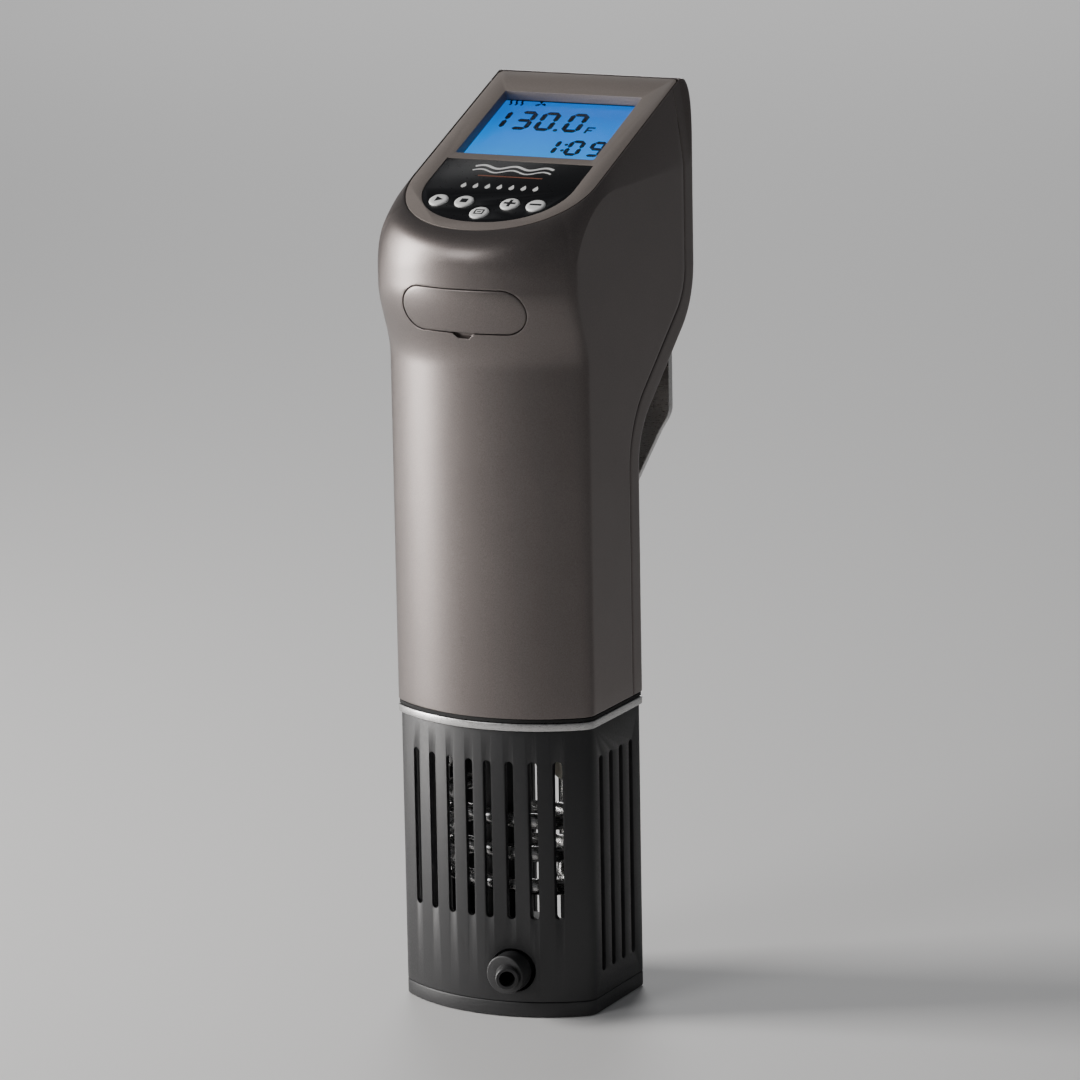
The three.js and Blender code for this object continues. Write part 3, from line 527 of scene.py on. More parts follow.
def back_y(z, inset=0.0):
    neck_radius, head_radius = NECK_FILLET + inset, HEAD_FILLET - inset
    neck_y, head_y = NECK_BACK + NECK_FILLET, HEAD_BACK - HEAD_FILLET
    nx, nz = sin(UNDERSIDE), -cos(UNDERSIDE)
    head_z = NECK_TOP + (-(NECK_FILLET + HEAD_FILLET) - nx * (head_y - neck_y)) / nz
    start = (neck_y - nx * neck_radius, NECK_TOP - nz * neck_radius)
    end_z = head_z + nz * head_radius
    if z <= NECK_TOP:
        return NECK_BACK - inset
    if z <= start[1]:
        return neck_y - sqrt(neck_radius ** 2 - (z - NECK_TOP) ** 2)
    if z <= end_z:
        return start[0] + (z - start[1]) / tan(UNDERSIDE)
    if z <= head_z:
        return head_y + sqrt(head_radius ** 2 - (head_z - z) ** 2)
    return HEAD_BACK - inset


def front_y(x, z, inset=0.0):
    middle = lerp(NECK_FRONT, HEAD_FRONT, smoothstep(z, *FRONT_STEP)) + inset
    radius = FRONT_RADIUS - inset
    return middle + radius - sqrt(radius ** 2 - x ** 2)


def front_columns(z, inset, seam_inset, arc=34, turn=8, side=36):
    """The right half of a level section of the front shell, as (kind, x, y), from its middle to the seam."""
    half = HALF_WIDTH - inset
    edge = half - FRONT_CORNER
    columns = [("arc", edge * i / arc, front_y(edge * i / arc, z, inset)) for i in range(arc + 1)]
    low = front_y(half, z, inset)
    start_y = low + FRONT_CORNER
    columns += [("turn", *p) for p in bend(columns[-1][1:], (half, low), (half, start_y), turn)]
    seam = back_y(z, seam_inset)
    columns += [("side", half, lerp(start_y, seam - 0.5, i / side)) for i in range(1, side + 1)]
    if inset == 0:
        columns += [("side", half - 0.08, seam - 0.2), ("side", half - 0.25, seam - 0.05)]
    else:
        columns += [("side", half, seam - 0.2), ("side", half, seam - 0.05)]
    columns.append(("side", half - (0.6 if inset == 0 else 0.0), seam))
    return columns


def back_columns(z, inset, seam_inset, turn=8, flat=12):
    """The right half of a level section of the rear cover, as (kind, x, y), from the seam to its middle."""
    half = HALF_WIDTH - inset
    back = back_y(z, inset)
    seam = back_y(z, seam_inset)
    columns = [("side", half - (0.6 if inset == 0 else 0.0), seam)]
    near = (0.25, 0.08) if inset == 0 else (0.0, 0.0)
    columns += [("side", half - near[0], seam + 0.05), ("side", half - near[1], seam + 0.2)]
    end = back - BACK_CORNER
    columns += [("side", half, lerp(seam + 0.5, end, i / 5)) for i in range(6)]
    rounds = bend((half, end), (half, back), (half - BACK_CORNER, back), turn)
    columns += [(f"rear{i + 1}", *p) for i, p in enumerate(rounds)]
    edge = half - BACK_CORNER
    columns += [("back", edge * (1 - i / flat), back) for i in range(1, flat + 1)]
    return columns


def cheek_z(y):
    def line(at):
        return CHEEK_TOP[1] - (CHEEK_TOP[0] - at) * CHEEK_TAN
    turn = (pi / 2 - atan(CHEEK_TAN)) / 2
    centre_y = CHEEK_FRONT + CHEEK_RADIUS
    centre_z = line(CHEEK_FRONT) - CHEEK_RADIUS * tan(turn)
    dy = max(-CHEEK_RADIUS, min(0.0, y - centre_y))
    share = max(0.0, y - CHEEK_FADE[0]) / (PANEL_TOP_Y - CHEEK_FADE[0])
    rise = CHEEK_FADE[1] * min(1.0, share) ** 2
    return min(centre_z + sqrt(CHEEK_RADIUS ** 2 - dy ** 2), line(y) + rise)


def rim_z(kind, x, y):
    """Height where the wall turns over towards the panel."""
    least = FRONT_STEP[1] + 3.5
    if kind == "arc":
        return least + 6 * (1 - (x / (HALF_WIDTH - FRONT_CORNER)) ** 2)
    if y > PANEL_TOP_Y:
        back = min(1.0, (y - PANEL_TOP_Y) / (HEAD_BACK - PANEL_TOP_Y))
        return lerp(REAR_EDGE_Z, cheek_z(PANEL_TOP_Y), sqrt(1 - back ** 2))
    return max(cheek_z(y), least)


def panel_end(angle, half, start, length):
    power = 2 / BEZEL_POWER
    across = half * max(0.0, cos(angle)) ** power
    return across, start + (length - start) * sin(angle) ** power


def end_share(kind, x, y):
    """How far a column is round the panel's end: 0 where its sides start to curve, 1 at the front's middle."""
    half = HALF_WIDTH
    edge = half - FRONT_CORNER
    arc_y = panel_y(BEZEL_ARC_START)
    low = front_y(half, FRONT_STEP[1])
    side = arc_y - (low + FRONT_CORNER)
    corner_length = 1.15 * FRONT_CORNER * 1.5
    arc = FRONT_RADIUS * asin(edge / FRONT_RADIUS)
    total = side + corner_length + arc
    if kind == "side":
        return max(0.0, (arc_y - y) / total)
    if kind == "turn":
        corner_share = (low + FRONT_CORNER - y) / (low + FRONT_CORNER - front_y(edge, FRONT_STEP[1]))
        return (side + corner_length * corner_share) / total
    if kind == "arc":
        return (side + corner_length + arc - FRONT_RADIUS * asin(min(1.0, x / FRONT_RADIUS))) / total
    return 0.0


def panel_point(kind, x, y, shrink=0.0):
    """Where a column meets the panel's flat, drawn in by shrink."""
    arc_y = panel_y(BEZEL_ARC_START)
    side_top = HEAD_BACK - BACK_CORNER
    corner_y = PANEL_TOP_Y - PANEL_CORNER
    half, top = BEZEL_HALF - shrink, PANEL_TOP_Y - shrink
    if kind == "back":
        return x * (half - PANEL_CORNER) / (HALF_WIDTH - BACK_CORNER), top
    if kind.startswith("rear"):
        path = bend((half, corner_y - shrink), (half, top), (half - PANEL_CORNER, top), 8)
        return path[int(kind[4:]) - 1]
    share = end_share(kind, x, y)
    if share <= 0:
        return half, lerp(arc_y, corner_y - shrink, (y - arc_y) / (side_top - arc_y))
    across, down = panel_end(pi / 2 * share, half, BEZEL_ARC_START, BEZEL_LENGTH - shrink)
    return across, panel_y(down)


def head_rows(columns, inset, rise=16, turn=14):
    """Rows of points from the head's foot up over the rim to the panel's edge."""
    drop = inset / cos(SLOPE)
    rims = [rim_z(*c) - drop for c in columns]
    edges = []
    for kind, x, y in columns:
        ex, ey = panel_point(kind, x, y, inset)
        edges.append((ex, ey, plane_z(ey) - drop))
    rows = []
    for j in range(1, rise + 1):
        t = (1 - (1 - j / rise) ** 1.6) if j < rise else 1.0
        rows.append([(x, y, lerp(FRONT_STEP[1], rim, t)) for (_, x, y), rim in zip(columns, rims)])
    for j in range(1, turn + 1):
        t = j / turn
        row = []
        for (kind, x, y), rim, edge in zip(columns, rims, edges):
            share = end_share(kind, x, y)
            k = 1.0 if kind == "back" or kind.startswith("rear") else lerp(0.12, 1.0, smoothstep(share, 0, 0.5))
            top = min(plane_z(y), HEIGHT) - drop
            control = (lerp((x + edge[0]) / 2, x, k), lerp((y + edge[1]) / 2, y, k),
                       lerp((rim + edge[2]) / 2, top, k))
            row.append(tuple((1 - t) ** 2 * a + 2 * t * (1 - t) * b + t * t * c
                             for a, b, c in zip((x, y, rim), control, edge)))
        rows.append(row)
    return rows


LEVELS = [NECK_BOTTOM + 0.6 + (NECK_TOP - NECK_BOTTOM - 0.6) * i / 14 for i in range(14)]
LEVELS += [NECK_TOP + (FRONT_STEP[1] - NECK_TOP) * i / 56 for i in range(57)]


def shell(name, half_of, seam_inset, material, mirror_last):
    """A closed shell: an outer and an inner skin joined round their edges."""
    def full(row):
        flipped = [(-x, y, z) for x, y, z in reversed(row)]
        return row + flipped[1:] if mirror_last else flipped[:-1] + row

    def skin(inset):
        rows = []
        if inset == 0:
            for lift, tuck in ((0.0, 0.5), (0.12, 0.16), (0.3, 0.04)):
                columns = half_of(NECK_BOTTOM + lift, 0.0, seam_inset)
                rows.append(full([(x - tuck * (x / HALF_WIDTH), y, NECK_BOTTOM + lift) for _, x, y in columns]))
        else:
            for lift in (0.0, 0.12, 0.3):
                columns = half_of(NECK_BOTTOM, inset, seam_inset)
                rows.append(full([(x, y, NECK_BOTTOM + lift) for _, x, y in columns]))
        for z in LEVELS:
            rows.append(full([(x, y, z) for _, x, y in half_of(z, inset, seam_inset)]))
        columns = half_of(FRONT_STEP[1], inset, seam_inset)
        rows += [full(row) for row in head_rows(columns, inset)]
        if inset == 0:
            for shrink, depth in ((0.12, 0.02), (0.4, 0.12), (0.5, 0.4), (0.5, 2.0)):
                row = []
                for kind, x, y in columns:
                    ex, ey = panel_point(kind, x, y, shrink)
                    row.append((ex, ey + depth * sin(SLOPE), plane_z(ey) - depth * cos(SLOPE)))
                rows.append(full(row))
        return rows

    outer, inner = skin(0.0), skin(WALL)
    columns = len(outer[0])
    points = [p for row in outer for p in row] + [p for row in inner for p in row]
    offset = len(outer) * columns
    faces = grid_faces(len(outer), columns) + grid_faces(len(inner), columns, offset, True)
    outer_top, inner_top = (len(outer) - 1) * columns, offset + (len(inner) - 1) * columns
    for i in range(columns - 1):
        faces.append((i + 1, i, offset + i, offset + i + 1))
        faces.append((outer_top + i, outer_top + i + 1, inner_top + i + 1, inner_top + i))
    shared = min(len(outer), len(inner))
    for column in (0, columns - 1):
        for j in range(shared - 1):
            a, b = j * columns + column, offset + j * columns + column
            face = (a, a + columns, b + columns, b)
            faces.append(face if column == 0 else face[::-1])
        tail = [j * columns + column for j in range(shared - 1, len(outer))]
        if len(tail) > 1:
            last = offset + (len(inner) - 1) * columns + column
            fan = tail + [last]
            faces.append(tuple(fan) if column == 0 else tuple(reversed(fan)))
    return piece(name, points, faces, material, 50)


def pill_outline(half, low, high, tab=False):
    """A pill with its flat sides level, and where asked the small finger notch below its middle."""
    radius, middle = (high - low) / 2, (low + high) / 2
    points = []
    if tab:
        top, bottom, floor = BADGE_TAB["top"], BADGE_TAB["bottom"], low - BADGE_TAB["depth"]
        points += [(-top, low), (-bottom, floor), (bottom, floor), (top, low)]
    points += arc_points(radius, (half - radius, middle), -90, 180, 20)
    return points + arc_points(radius, (radius - half, middle), 90, 180, 20)


def densified(outline, step):
    points = []
    for i, (x, y) in enumerate(outline):
        nx, ny = outline[(i + 1) % len(outline)]
        parts = max(1, round(hypot(nx - x, ny - y) / step))
        points += [(lerp(x, nx, k / parts), lerp(y, ny, k / parts)) for k in range(parts)]
    return points


def on_front(name, outlines, material, fill_rows):
    """A closed solid between outlines laid on the front face; each is (X-Z outline, depth)."""
    rings = [[(x, front_y(x, z) + depth, z) for x, z in outline] for outline, depth in outlines]
    count = len(rings[0])
    points = [p for ring in rings for p in ring]
    faces = ring_faces(len(rings), count, capped=False)
    for base, (outline, depth) in ((0, outlines[0]), ((len(rings) - 1) * count, outlines[-1])):
        middle = (max(z for _, z in outline) + min(z for _, z in outline)) / 2
        reach = max(x for x, _ in outline) * 0.62
        previous = [base + i for i in range(count)]
        for step in range(1, fill_rows + 2):
            t = step / (fill_rows + 1)
            current = []
            for x, z in outline:
                px, pz = lerp(x, max(-reach, min(reach, x)), t), lerp(z, middle, t)
                current.append(len(points))
                points.append((px, front_y(px, pz) + depth, pz))
            for i in range(count):
                k = (i + 1) % count
                faces.append((previous[i], previous[k], current[k], current[i]))
            previous = current
    return piece(name, points, faces, material, 40)


# ---------------------------------------------------------------- casing
def pill_solid(name, sections, fill_rows, tab=False):
    """A solid in the front face from sections of the pill, each (margin round it, depth)."""
    outlines = []
    for margin, depth in sections:
        outline = pill_outline(BADGE["half"] + margin, BADGE["low"] - margin, BADGE["high"] + margin, tab)
        outlines.append((densified(outline, 1.2), depth))
    return on_front(name, outlines, M.pewter, fill_rows)


def main_housing():
    obj = shell("main_housing_shell", front_columns, SEAM + SEAM_GAP, M.pewter, False)
    sections = ((1.2, -1.0), (0.5, -0.03), (0.36, 0.06), (0.27, 0.25), (0.25, 1.6))
    cut(obj, pill_solid("pocket", sections, 3, tab=True))
    place(obj, "pewter_paint", "main_housing")


def badge():
    sections = ((0.0, 1.4), (0.0, 0.5), (-0.08, 0.28), (-0.3, 0.12), (-0.7, 0.06))
    place(pill_solid("badge_plate_shell", sections, 7), "pewter_paint", "badge_plate")


def rear_cover():
    obj = shell("rear_cover_shell", back_columns, SEAM - SEAM_GAP, M.pewter, True)
    holes = [round_rectangle(spot["half"] + 0.3, spot["height"] + 0.3, 0.6, (spot["x"], spot["z"]))
             for spot in (INLET, ROCKER)]
    holes += [round_rectangle(22, 1.2, 1.15, (0, 285.2 + 6 * i)) for i in range(3)]
    cutters = [prism("hole", hole, 0, 14, M.dark, facing_back(84)) for hole in holes]
    for x, z in SCREW_POSTS:
        cutters += [prism("post", circle(3.5, (side * x, z)), 0, 10, M.dark, facing_back(86))
                    for side in (-1, 1)]
    low, high = span("clamp_bracket")
    cutters.append(block("slot", (low.x - 0.35, 76.05, 240), (high.x + 0.35, 79.95, 275), M.dark))
    cut(obj, grouped("cutters", cutters))
    place(obj, "pewter_paint", "rear_cover")


def cover_screws():
    for i, (x, z) in enumerate(SCREW_POSTS, 1):
        for side, word in ((1, "right"), (-1, "left")):
            name, centre = f"cover_screw_{word}_{i}", (side * x, 0, z)
            profile = [(0, 86.3), (3.1, 86.3), (3.1, 87.6), (2.6, 88.3), (0, 88.5)]
            head = lathe("head", profile, M.turned_steel, centre, "y", 0.2, 40)
            slots = [block("slot", (side * x - w, 87.5, z - h), (side * x + w, 90, z + h), M.turned_steel)
                     for w, h in ((1.9, 0.35), (0.35, 1.9))]
            cut(head, join(*slots), smooth=30)
            shank = rod("shank", 1.25, 73.4, 86.3, M.turned_steel, centre, "y", 24)
            place(grouped(name + "_fine", [head, shank]), "stainless", name)


# ---------------------------------------------------------------- panel
def panel_outline(half, top, start, length, steps=40, corner_radius=0.0):
    right = []
    if corner_radius:
        right += [(half - corner_radius, -top)]
        right += bend((half - corner_radius, -top), (half, -top), (half, -top - corner_radius), 6)
    else:
        right.append((half, -top))
    for i in range(steps + 1):
        across, down = panel_end(pi / 2 * i / steps, half, start, length)
        right.append((0.0 if i == steps else across, -down))
    left = [(-x, y) for x, y in reversed(right[:-1])]
    return (right + left)[::-1]


def window_outline(margin, radius=0.8):
    half_v = (WINDOW["bottom"] - WINDOW["top"]) / 2 + margin
    middle = (0, -(WINDOW["bottom"] + WINDOW["top"]) / 2)
    return round_rectangle(WINDOW["half"] + margin, half_v, radius, middle, 4)


def button_holes(low, high, material):
    return [prism("hole", circle(BUTTON_RADIUS + 0.3, (u, -v)), low, high, material, ON_PANEL)
            for u, v in BUTTONS.values()]


def overlay_outline(gap=0.0):
    return panel_outline(OVERLAY["half"] + gap, OVERLAY["top"] - gap, OVERLAY["arc"], OVERLAY["length"] + gap)


def bezel():
    outline = panel_outline(BEZEL_HALF - 0.8, 0.85, BEZEL_ARC_START, BEZEL_LENGTH - 0.8, 48, 2.6)
    obj = prism("bezel", outline, -4, 0, M.bezel, ON_PANEL)
    window = prism("window", window_outline(0), -10, 5, M.bezel, ON_PANEL)
    recess = prism("recess", overlay_outline(0.2), -1.3, 5, M.bezel, ON_PANEL)
    cut(obj, window, recess, *button_holes(-10, 0.5, M.bezel))
    bevel(obj, 0.45, 3, 50)
    place(obj, "bezel_plastic", "display_bezel")


def ribbon(path, width):
    """The outline of a band along a path of points."""
    upper, lower = [], []
    for i, p in enumerate(path):
        before, after = Vector(path[max(i - 1, 0)]), Vector(path[min(i + 1, len(path) - 1)])
        along = (after - before).normalized()
        across = Vector((-along.y, along.x)) * width / 2
        upper.append(tuple(Vector(p) + across))
        lower.append(tuple(Vector(p) - across))
    return upper + lower[::-1]


def overlay():
    """The gloss film and its printed motif: two waves, a rule and a row of drops."""
    film = prism("overlay_film", overlay_outline(), -1.0, -0.1, M.gloss, ON_PANEL)
    cut(film, *button_holes(-3, 2, M.gloss))
    bevel(film, 0.12, 2, 50)
    place(film, "gloss_black", "control_overlay")
    bands = []
    for down, width in ((73.6, 1.15), (76.6, 0.75)):
        wave = [(lerp(-17, 17, i / 60), -down + 1.1 * sin(pi * 5 * i / 60)) for i in range(61)]
        bands.append((ribbon(wave, width), M.ink_white))
    bands.append((ribbon([(-13, -80.2), (15, -80.2)], 0.55), M.ink_copper))
    side = [(0.75, 0.5), (1.0, -0.35), (0.72, -1.1)]
    drop = [(0.0, 1.9), *side, (0.0, -1.45), *[(-x, y) for x, y in side[::-1]]]
    for i in range(7):
        u = -15.6 + 5.2 * i
        bands.append(([(u + x * 1.1, -88 + y * 1.1) for x, y in drop[::-1]], M.ink_white))
    marks = [prism("mark", outline, -0.1, -0.05, ink, ON_PANEL) for outline, ink in bands]
    place(grouped("overlay_motif", marks), "gloss_black")


SEGMENTS = {"0": "abcdef", "1": "bc", "3": "abcdg", "9": "abcdfg"}
# The digits shown: value, place across the panel, then place down it, width, height and weight of the bars.
UPPER, LOWER = (29.4, 6.0, 12.3, 2.15), (48.1, 5.0, 9.7, 1.9)
READOUT = (("1", -28.0, UPPER), ("3", -16.9, UPPER), ("0", -6.6, UPPER), ("0", 5.8, UPPER),
           ("1", 3.1, LOWER), ("0", 13.6, LOWER), ("9", 23.1, LOWER))
READOUT_DOTS = ((-0.5, 35.6, 0.95), (9.1, 45.9, 0.75), (9.1, 50.3, 0.75))
UNIT_BARS = ((12.4, -36.6, 13.3, -32.0), (13.3, -32.9, 15.9, -32.0), (13.3, -34.9, 15.2, -34.1))


def digit(value, u, down, width, height, weight):
    """A seven-segment digit with mitred bars; u and down are its middle on the panel."""
    half_w, half_h, k = width / 2, height / 2, weight / 2
    gap = weight * 0.06

    def bar(x0, y0, x1, y1):
        along = Vector((x1 - x0, y1 - y0)).normalized()
        across, tip = Vector((-along.y, along.x)) * k, along * k
        a, b = Vector((x0, y0)) + along * gap, Vector((x1, y1)) - along * gap
        return [a, a + tip - across, b - tip - across, b, b - tip + across, a + tip + across]
    lines = {"a": (-half_w, half_h, half_w, half_h), "g": (-half_w, 0, half_w, 0),
             "d": (-half_w, -half_h, half_w, -half_h), "f": (-half_w, 0, -half_w, half_h),
             "b": (half_w, 0, half_w, half_h), "e": (-half_w, -half_h, -half_w, 0),
             "c": (half_w, -half_h, half_w, 0)}
    return [[(u + p.x, -down + p.y) for p in bar(*lines[name])] for name in SEGMENTS[value]]


def display():
    place(prism("lcd_glass", window_outline(1.4, 0.4), -7.6, -5.6, M.lcd, ON_PANEL), "lcd_glass", "lcd_panel")
    outlines = []
    for value, u, size in READOUT:
        outlines += digit(value, u, *size)
    for u, down, radius in READOUT_DOTS:
        outlines.append(circle(radius, (u, -down), 16))
    outlines += [rectangle(*bar) for bar in UNIT_BARS]
    for i in range(3):
        path = [(-28.6 + 2.5 * i + 0.45 * sin(k * 0.9), -18.2 + k * 0.55) for k in range(8)]
        outlines.append(ribbon(path, 0.85)[::-1])
    for i in range(3):
        angle = radians(90 + 120 * i)
        blade = [(0, 0), (1.0, 1.0), (2.3, 0.8), (2.6, -0.2), (1.2, -0.3)]
        outlines.append([(-15.2 + x * cos(angle) - y * sin(angle),
                          -16.2 + x * sin(angle) + y * cos(angle)) for x, y in blade])
    solids = [prism("segment", outline, -5.6, -5.52, M.segment, ON_PANEL) for outline in outlines]
    place(grouped("lcd_digits", solids), "gloss_black")
    lens = prism("window_lens", window_outline(2, 0.6), -5.3, -4.3, M.glass, ON_PANEL)
    place(lens, "clear_lens", "display_lens")


def icon_outlines(name):
    w, r = 0.62, 2.5
    if name == "play":
        return [[(-1.25, -1.75), (1.95, 0.0), (-1.25, 1.75)]]
    if name == "stop":
        return [round_rectangle(1.5, 1.4, 0.3, steps=3)]
    if name == "plus":
        return [[(-w, -r), (w, -r), (w, -w), (r, -w), (r, w), (w, w), (w, r), (-w, r), (-w, w), (-r, w), (-r, -w),
                 (-w, -w)]]
    if name == "minus":
        return [rectangle(-r, -w, r, w)]
    return [rectangle(*bar) for bar in ((-2.0, -1.7, 2.0, -1.1), (-2.0, 1.1, 2.0, 1.7), (-2.0, -1.1, -1.4, 1.1),
                                        (1.4, -1.1, 2.0, 1.1), (-0.8, -0.3, 0.8, 0.3))]


def buttons():
    r = BUTTON_RADIUS
    profile = [(0, -7.6), (r - 1, -7.6), (r - 1, -6.4), (r + 0.8, -6.4), (r + 0.8, -5.2), (r, -5.2), (r, -0.1),
               (r - 0.1, 0.2), (r - 0.4, 0.42), (r - 1.2, 0.5), (0, 0.5)]
    for name, (u, v) in BUTTONS.items():
        cap = turned(f"key_{name}", profile, M.key, sides=56)
        move(cap, ON_PANEL @ Matrix.Translation((u, -v, 0)))
        place(cap, "white_plastic", f"button_{name}", f"button_{name}")
        solids = [prism("icon", [(x + u, y - v) for x, y in outline], 0.46, 0.54, M.ink_black, ON_PANEL)
                  for outline in icon_outlines(name)]
        place(grouped(f"icon_{name}", solids), "gloss_black", body=f"button_{name}")


# ---------------------------------------------------------------- back of the head
def flanged(name, spot, rim, corners, deep, start, edge):
    """A body let into the rear cover, with its flange proud of the cover; corners are their radii."""
    x, z, half, height = spot["x"], spot["z"], spot["half"], spot["height"]
    body = prism(name, round_rectangle(half, height, corners[0], (x, z)), 0, deep, M.black, facing_back(start))
    outline = round_rectangle(half + rim, height + rim, corners[1], (x, z))
    flange = prism("flange", outline, 0, edge[0], M.black, facing_back(HEAD_BACK + 0.3))
    bevel(flange, edge[1], 3, 50)
    return join(body, flange)


def power_inlet():
    x, z = INLET["x"], INLET["z"]
    obj = flanged("inlet", INLET, 2, (0.8, 1.6), 24, 68, (1.7, 0.5))
    shape = [(-11.8, -8), (11.8, -8), (11.8, 4), (7.6, 8), (-7.6, 8), (-11.8, 4)]
    cut(obj, prism("socket", [(x + a, z + b) for a, b in shape], 0, 22, M.black, facing_back(78)))
    place(obj, "black_plastic", "power_inlet")
    for word in ("live", "neutral", "earth"):
        low, high = span(f"inlet_pin_{word}")
        middle = ((low.x + high.x) / 2, (low.z + high.z) / 2)
        outline = round_rectangle((high.x - low.x) / 2, (high.z - low.z) / 2, 0.35, middle, 3)
        pin = prism(f"pin_{word}", outline, 0, high.y - low.y, M.brass, facing_back(low.y))
        bevel(pin, 0.25, 2, 50)
        place(pin, "pin_brass", f"inlet_pin_{word}")


def rocker():
    x, z = ROCKER["x"], ROCKER["z"]
    obj = flanged("rocker_body", ROCKER, 1.4, (0.6, 1.2), 18, 74, (1.3, 0.4))
    cut(obj, block("well", (x - 5, 82, z - 8), (x + 5, 100, z + 8), M.black))
    place(obj, "black_plastic", "rocker_frame")
    tilt = Matrix.Translation((x, ROCKER["y"], z)) @ Matrix.Rotation(radians(-10), 4, "X")
    profile = [(-4, -6.4), (1.8, -7.4), (2.3, -6.9), (1.7, -3.5), (1.35, 0), (1.7, 3.5), (2.3, 6.9), (1.8, 7.4),
               (-4, 6.4), (-6, 0)]
    key = prism("rocker_key_fine", profile, -4.6, 4.6, M.black, tilt @ SIDEWAYS, 60)
    bevel(key, 0.35, 3, 30)
    place(key, "black_plastic", "rocker_key", "rocker_key")
    face = tilt @ facing_back(0)
    mark = prism("on", rectangle(-0.35, 2.6, 0.35, 5.4), 1.75, 2.0, M.ink_white, face)
    off = cut(prism("off", circle(1.5, (0, -4), 28), 1.75, 2.0, M.ink_white, face),
              prism("eye", circle(0.95, (0, -4), 28), 1.0, 3.0, M.ink_white, face))
    place(grouped("rocker_marks", [mark, off]), "black_plastic", body="rocker_key")


# ---------------------------------------------------------------- wet end
def section_outline(inset, arc=26, turn=6):
    half = HALF_WIDTH - inset
    edge = half - FRONT_CORNER
    right = [(edge * i / arc, front_y(edge * i / arc, NECK_BOTTOM, inset)) for i in range(arc + 1)]
    low = front_y(half, NECK_BOTTOM, inset)
    right += bend(right[-1], (half, low), (half, low + FRONT_CORNER), turn)
    back = NECK_BACK - inset
    right.append((half, back - BACK_CORNER))
    right += bend(right[-1], (half, back), (half - BACK_CORNER, back), turn)
    left = [(-x, y) for x, y in reversed(right[1:])]
    return right + left


def wet_end():
    low, high = span("bulkhead")
    plate = prism("deck_plate", section_outline(0), low.z, high.z, M.steel)
    bevel(plate, 0.4, 3, 50)
    place(plate, "stainless", "bulkhead")
    low, high = span("neck_gasket")
    ring = cut(prism("gasket_ring", section_outline(0.35), low.z, high.z, M.soft_black),
               prism("bore", section_outline(3), low.z - 1, high.z + 1, M.soft_black))
    place(ring, "rubber", "neck_gasket")

    low, high = span("pump_cage")
    cage = cut(prism("cage_skirt", section_outline(1), low.z, high.z, M.black),
               prism("bore", section_outline(3.2), low.z - 5, high.z + 5, M.black))
    cutters = []
    for x in (-31, -22, -13, -4, 4, 13, 22, 31):
        for half, middle, depths, face in ((32, 72, (-5, 32), facing_front(0)), (44, 60, (0, 15), facing_back(30))):
            slot = round_rectangle(1.7, half, 1.65, (x, middle))
            cutters.append(prism("slot", slot, *depths, M.black, face))
    for y in (0, 9, 18, 27):
        cutters.append(prism("slot", round_rectangle(1.7, 44, 1.65, (y, 60)), -50, 50, M.black, SIDEWAYS))
    cutters.append(rod("outlet", 9, -32, -12, M.black, OUTLET_AXIS, "y"))
    cut(cage, grouped("cutters", cutters))
    bevel(cage, 0.35, 2, 50)
    place(cage, "black_plastic", "pump_cage")
    base = prism("cage_foot", section_outline(1), 0, 6, M.black)
    slots = [prism("slot", round_rectangle(1.8, 18, 1.75, (x, 10)), -5, 20, M.black) for x in (-32, -24, 24, 32)]
    cut(base, grouped("cutters", slots))
    bevel(base, 0.5, 3, 50)
    place(base, "black_plastic", "cage_base")


def catmull(points, steps):
    """A smooth path through points."""
    points = [Vector(p) for p in points]
    path = []
    for i in range(len(points) - 1):
        p0, p1, p2, p3 = (points[max(0, min(i + k, len(points) - 1))] for k in (-1, 0, 1, 2))
        for k in range(steps):
            t = k / steps
            path.append(0.5 * ((2 * p1) + (p2 - p0) * t + (2 * p0 - 5 * p1 + 4 * p2 - p3) * t ** 2
                               + (3 * p1 - p0 - 3 * p2 + p3) * t ** 3))
    return path + [points[-1]]


def heater():
    c = COIL
    points = [(-c["leg_x"], c["leg_y"], z) for z in (127, 117, 107, 98)]
    steps = 24 * c["turns"]
    start, sweep = radians(118), 2 * pi * c["turns"] - radians(56)
    for i in range(steps + 1):
        angle = start + sweep * i / steps
        points.append((c["half_x"] * cos(angle), c["y"] + c["half_y"] * sin(angle),
                       lerp(c["top"] + 2, c["bottom"], i / steps)))
    points += [(c["leg_x"], c["leg_y"], z) for z in (60, 74, 90, 104, 117, 127)]
    obj = tube("heater_tube", catmull(points, 3), c["radius"], M.turned_steel, 24)
    place(obj, "stainless", "heater_coil")


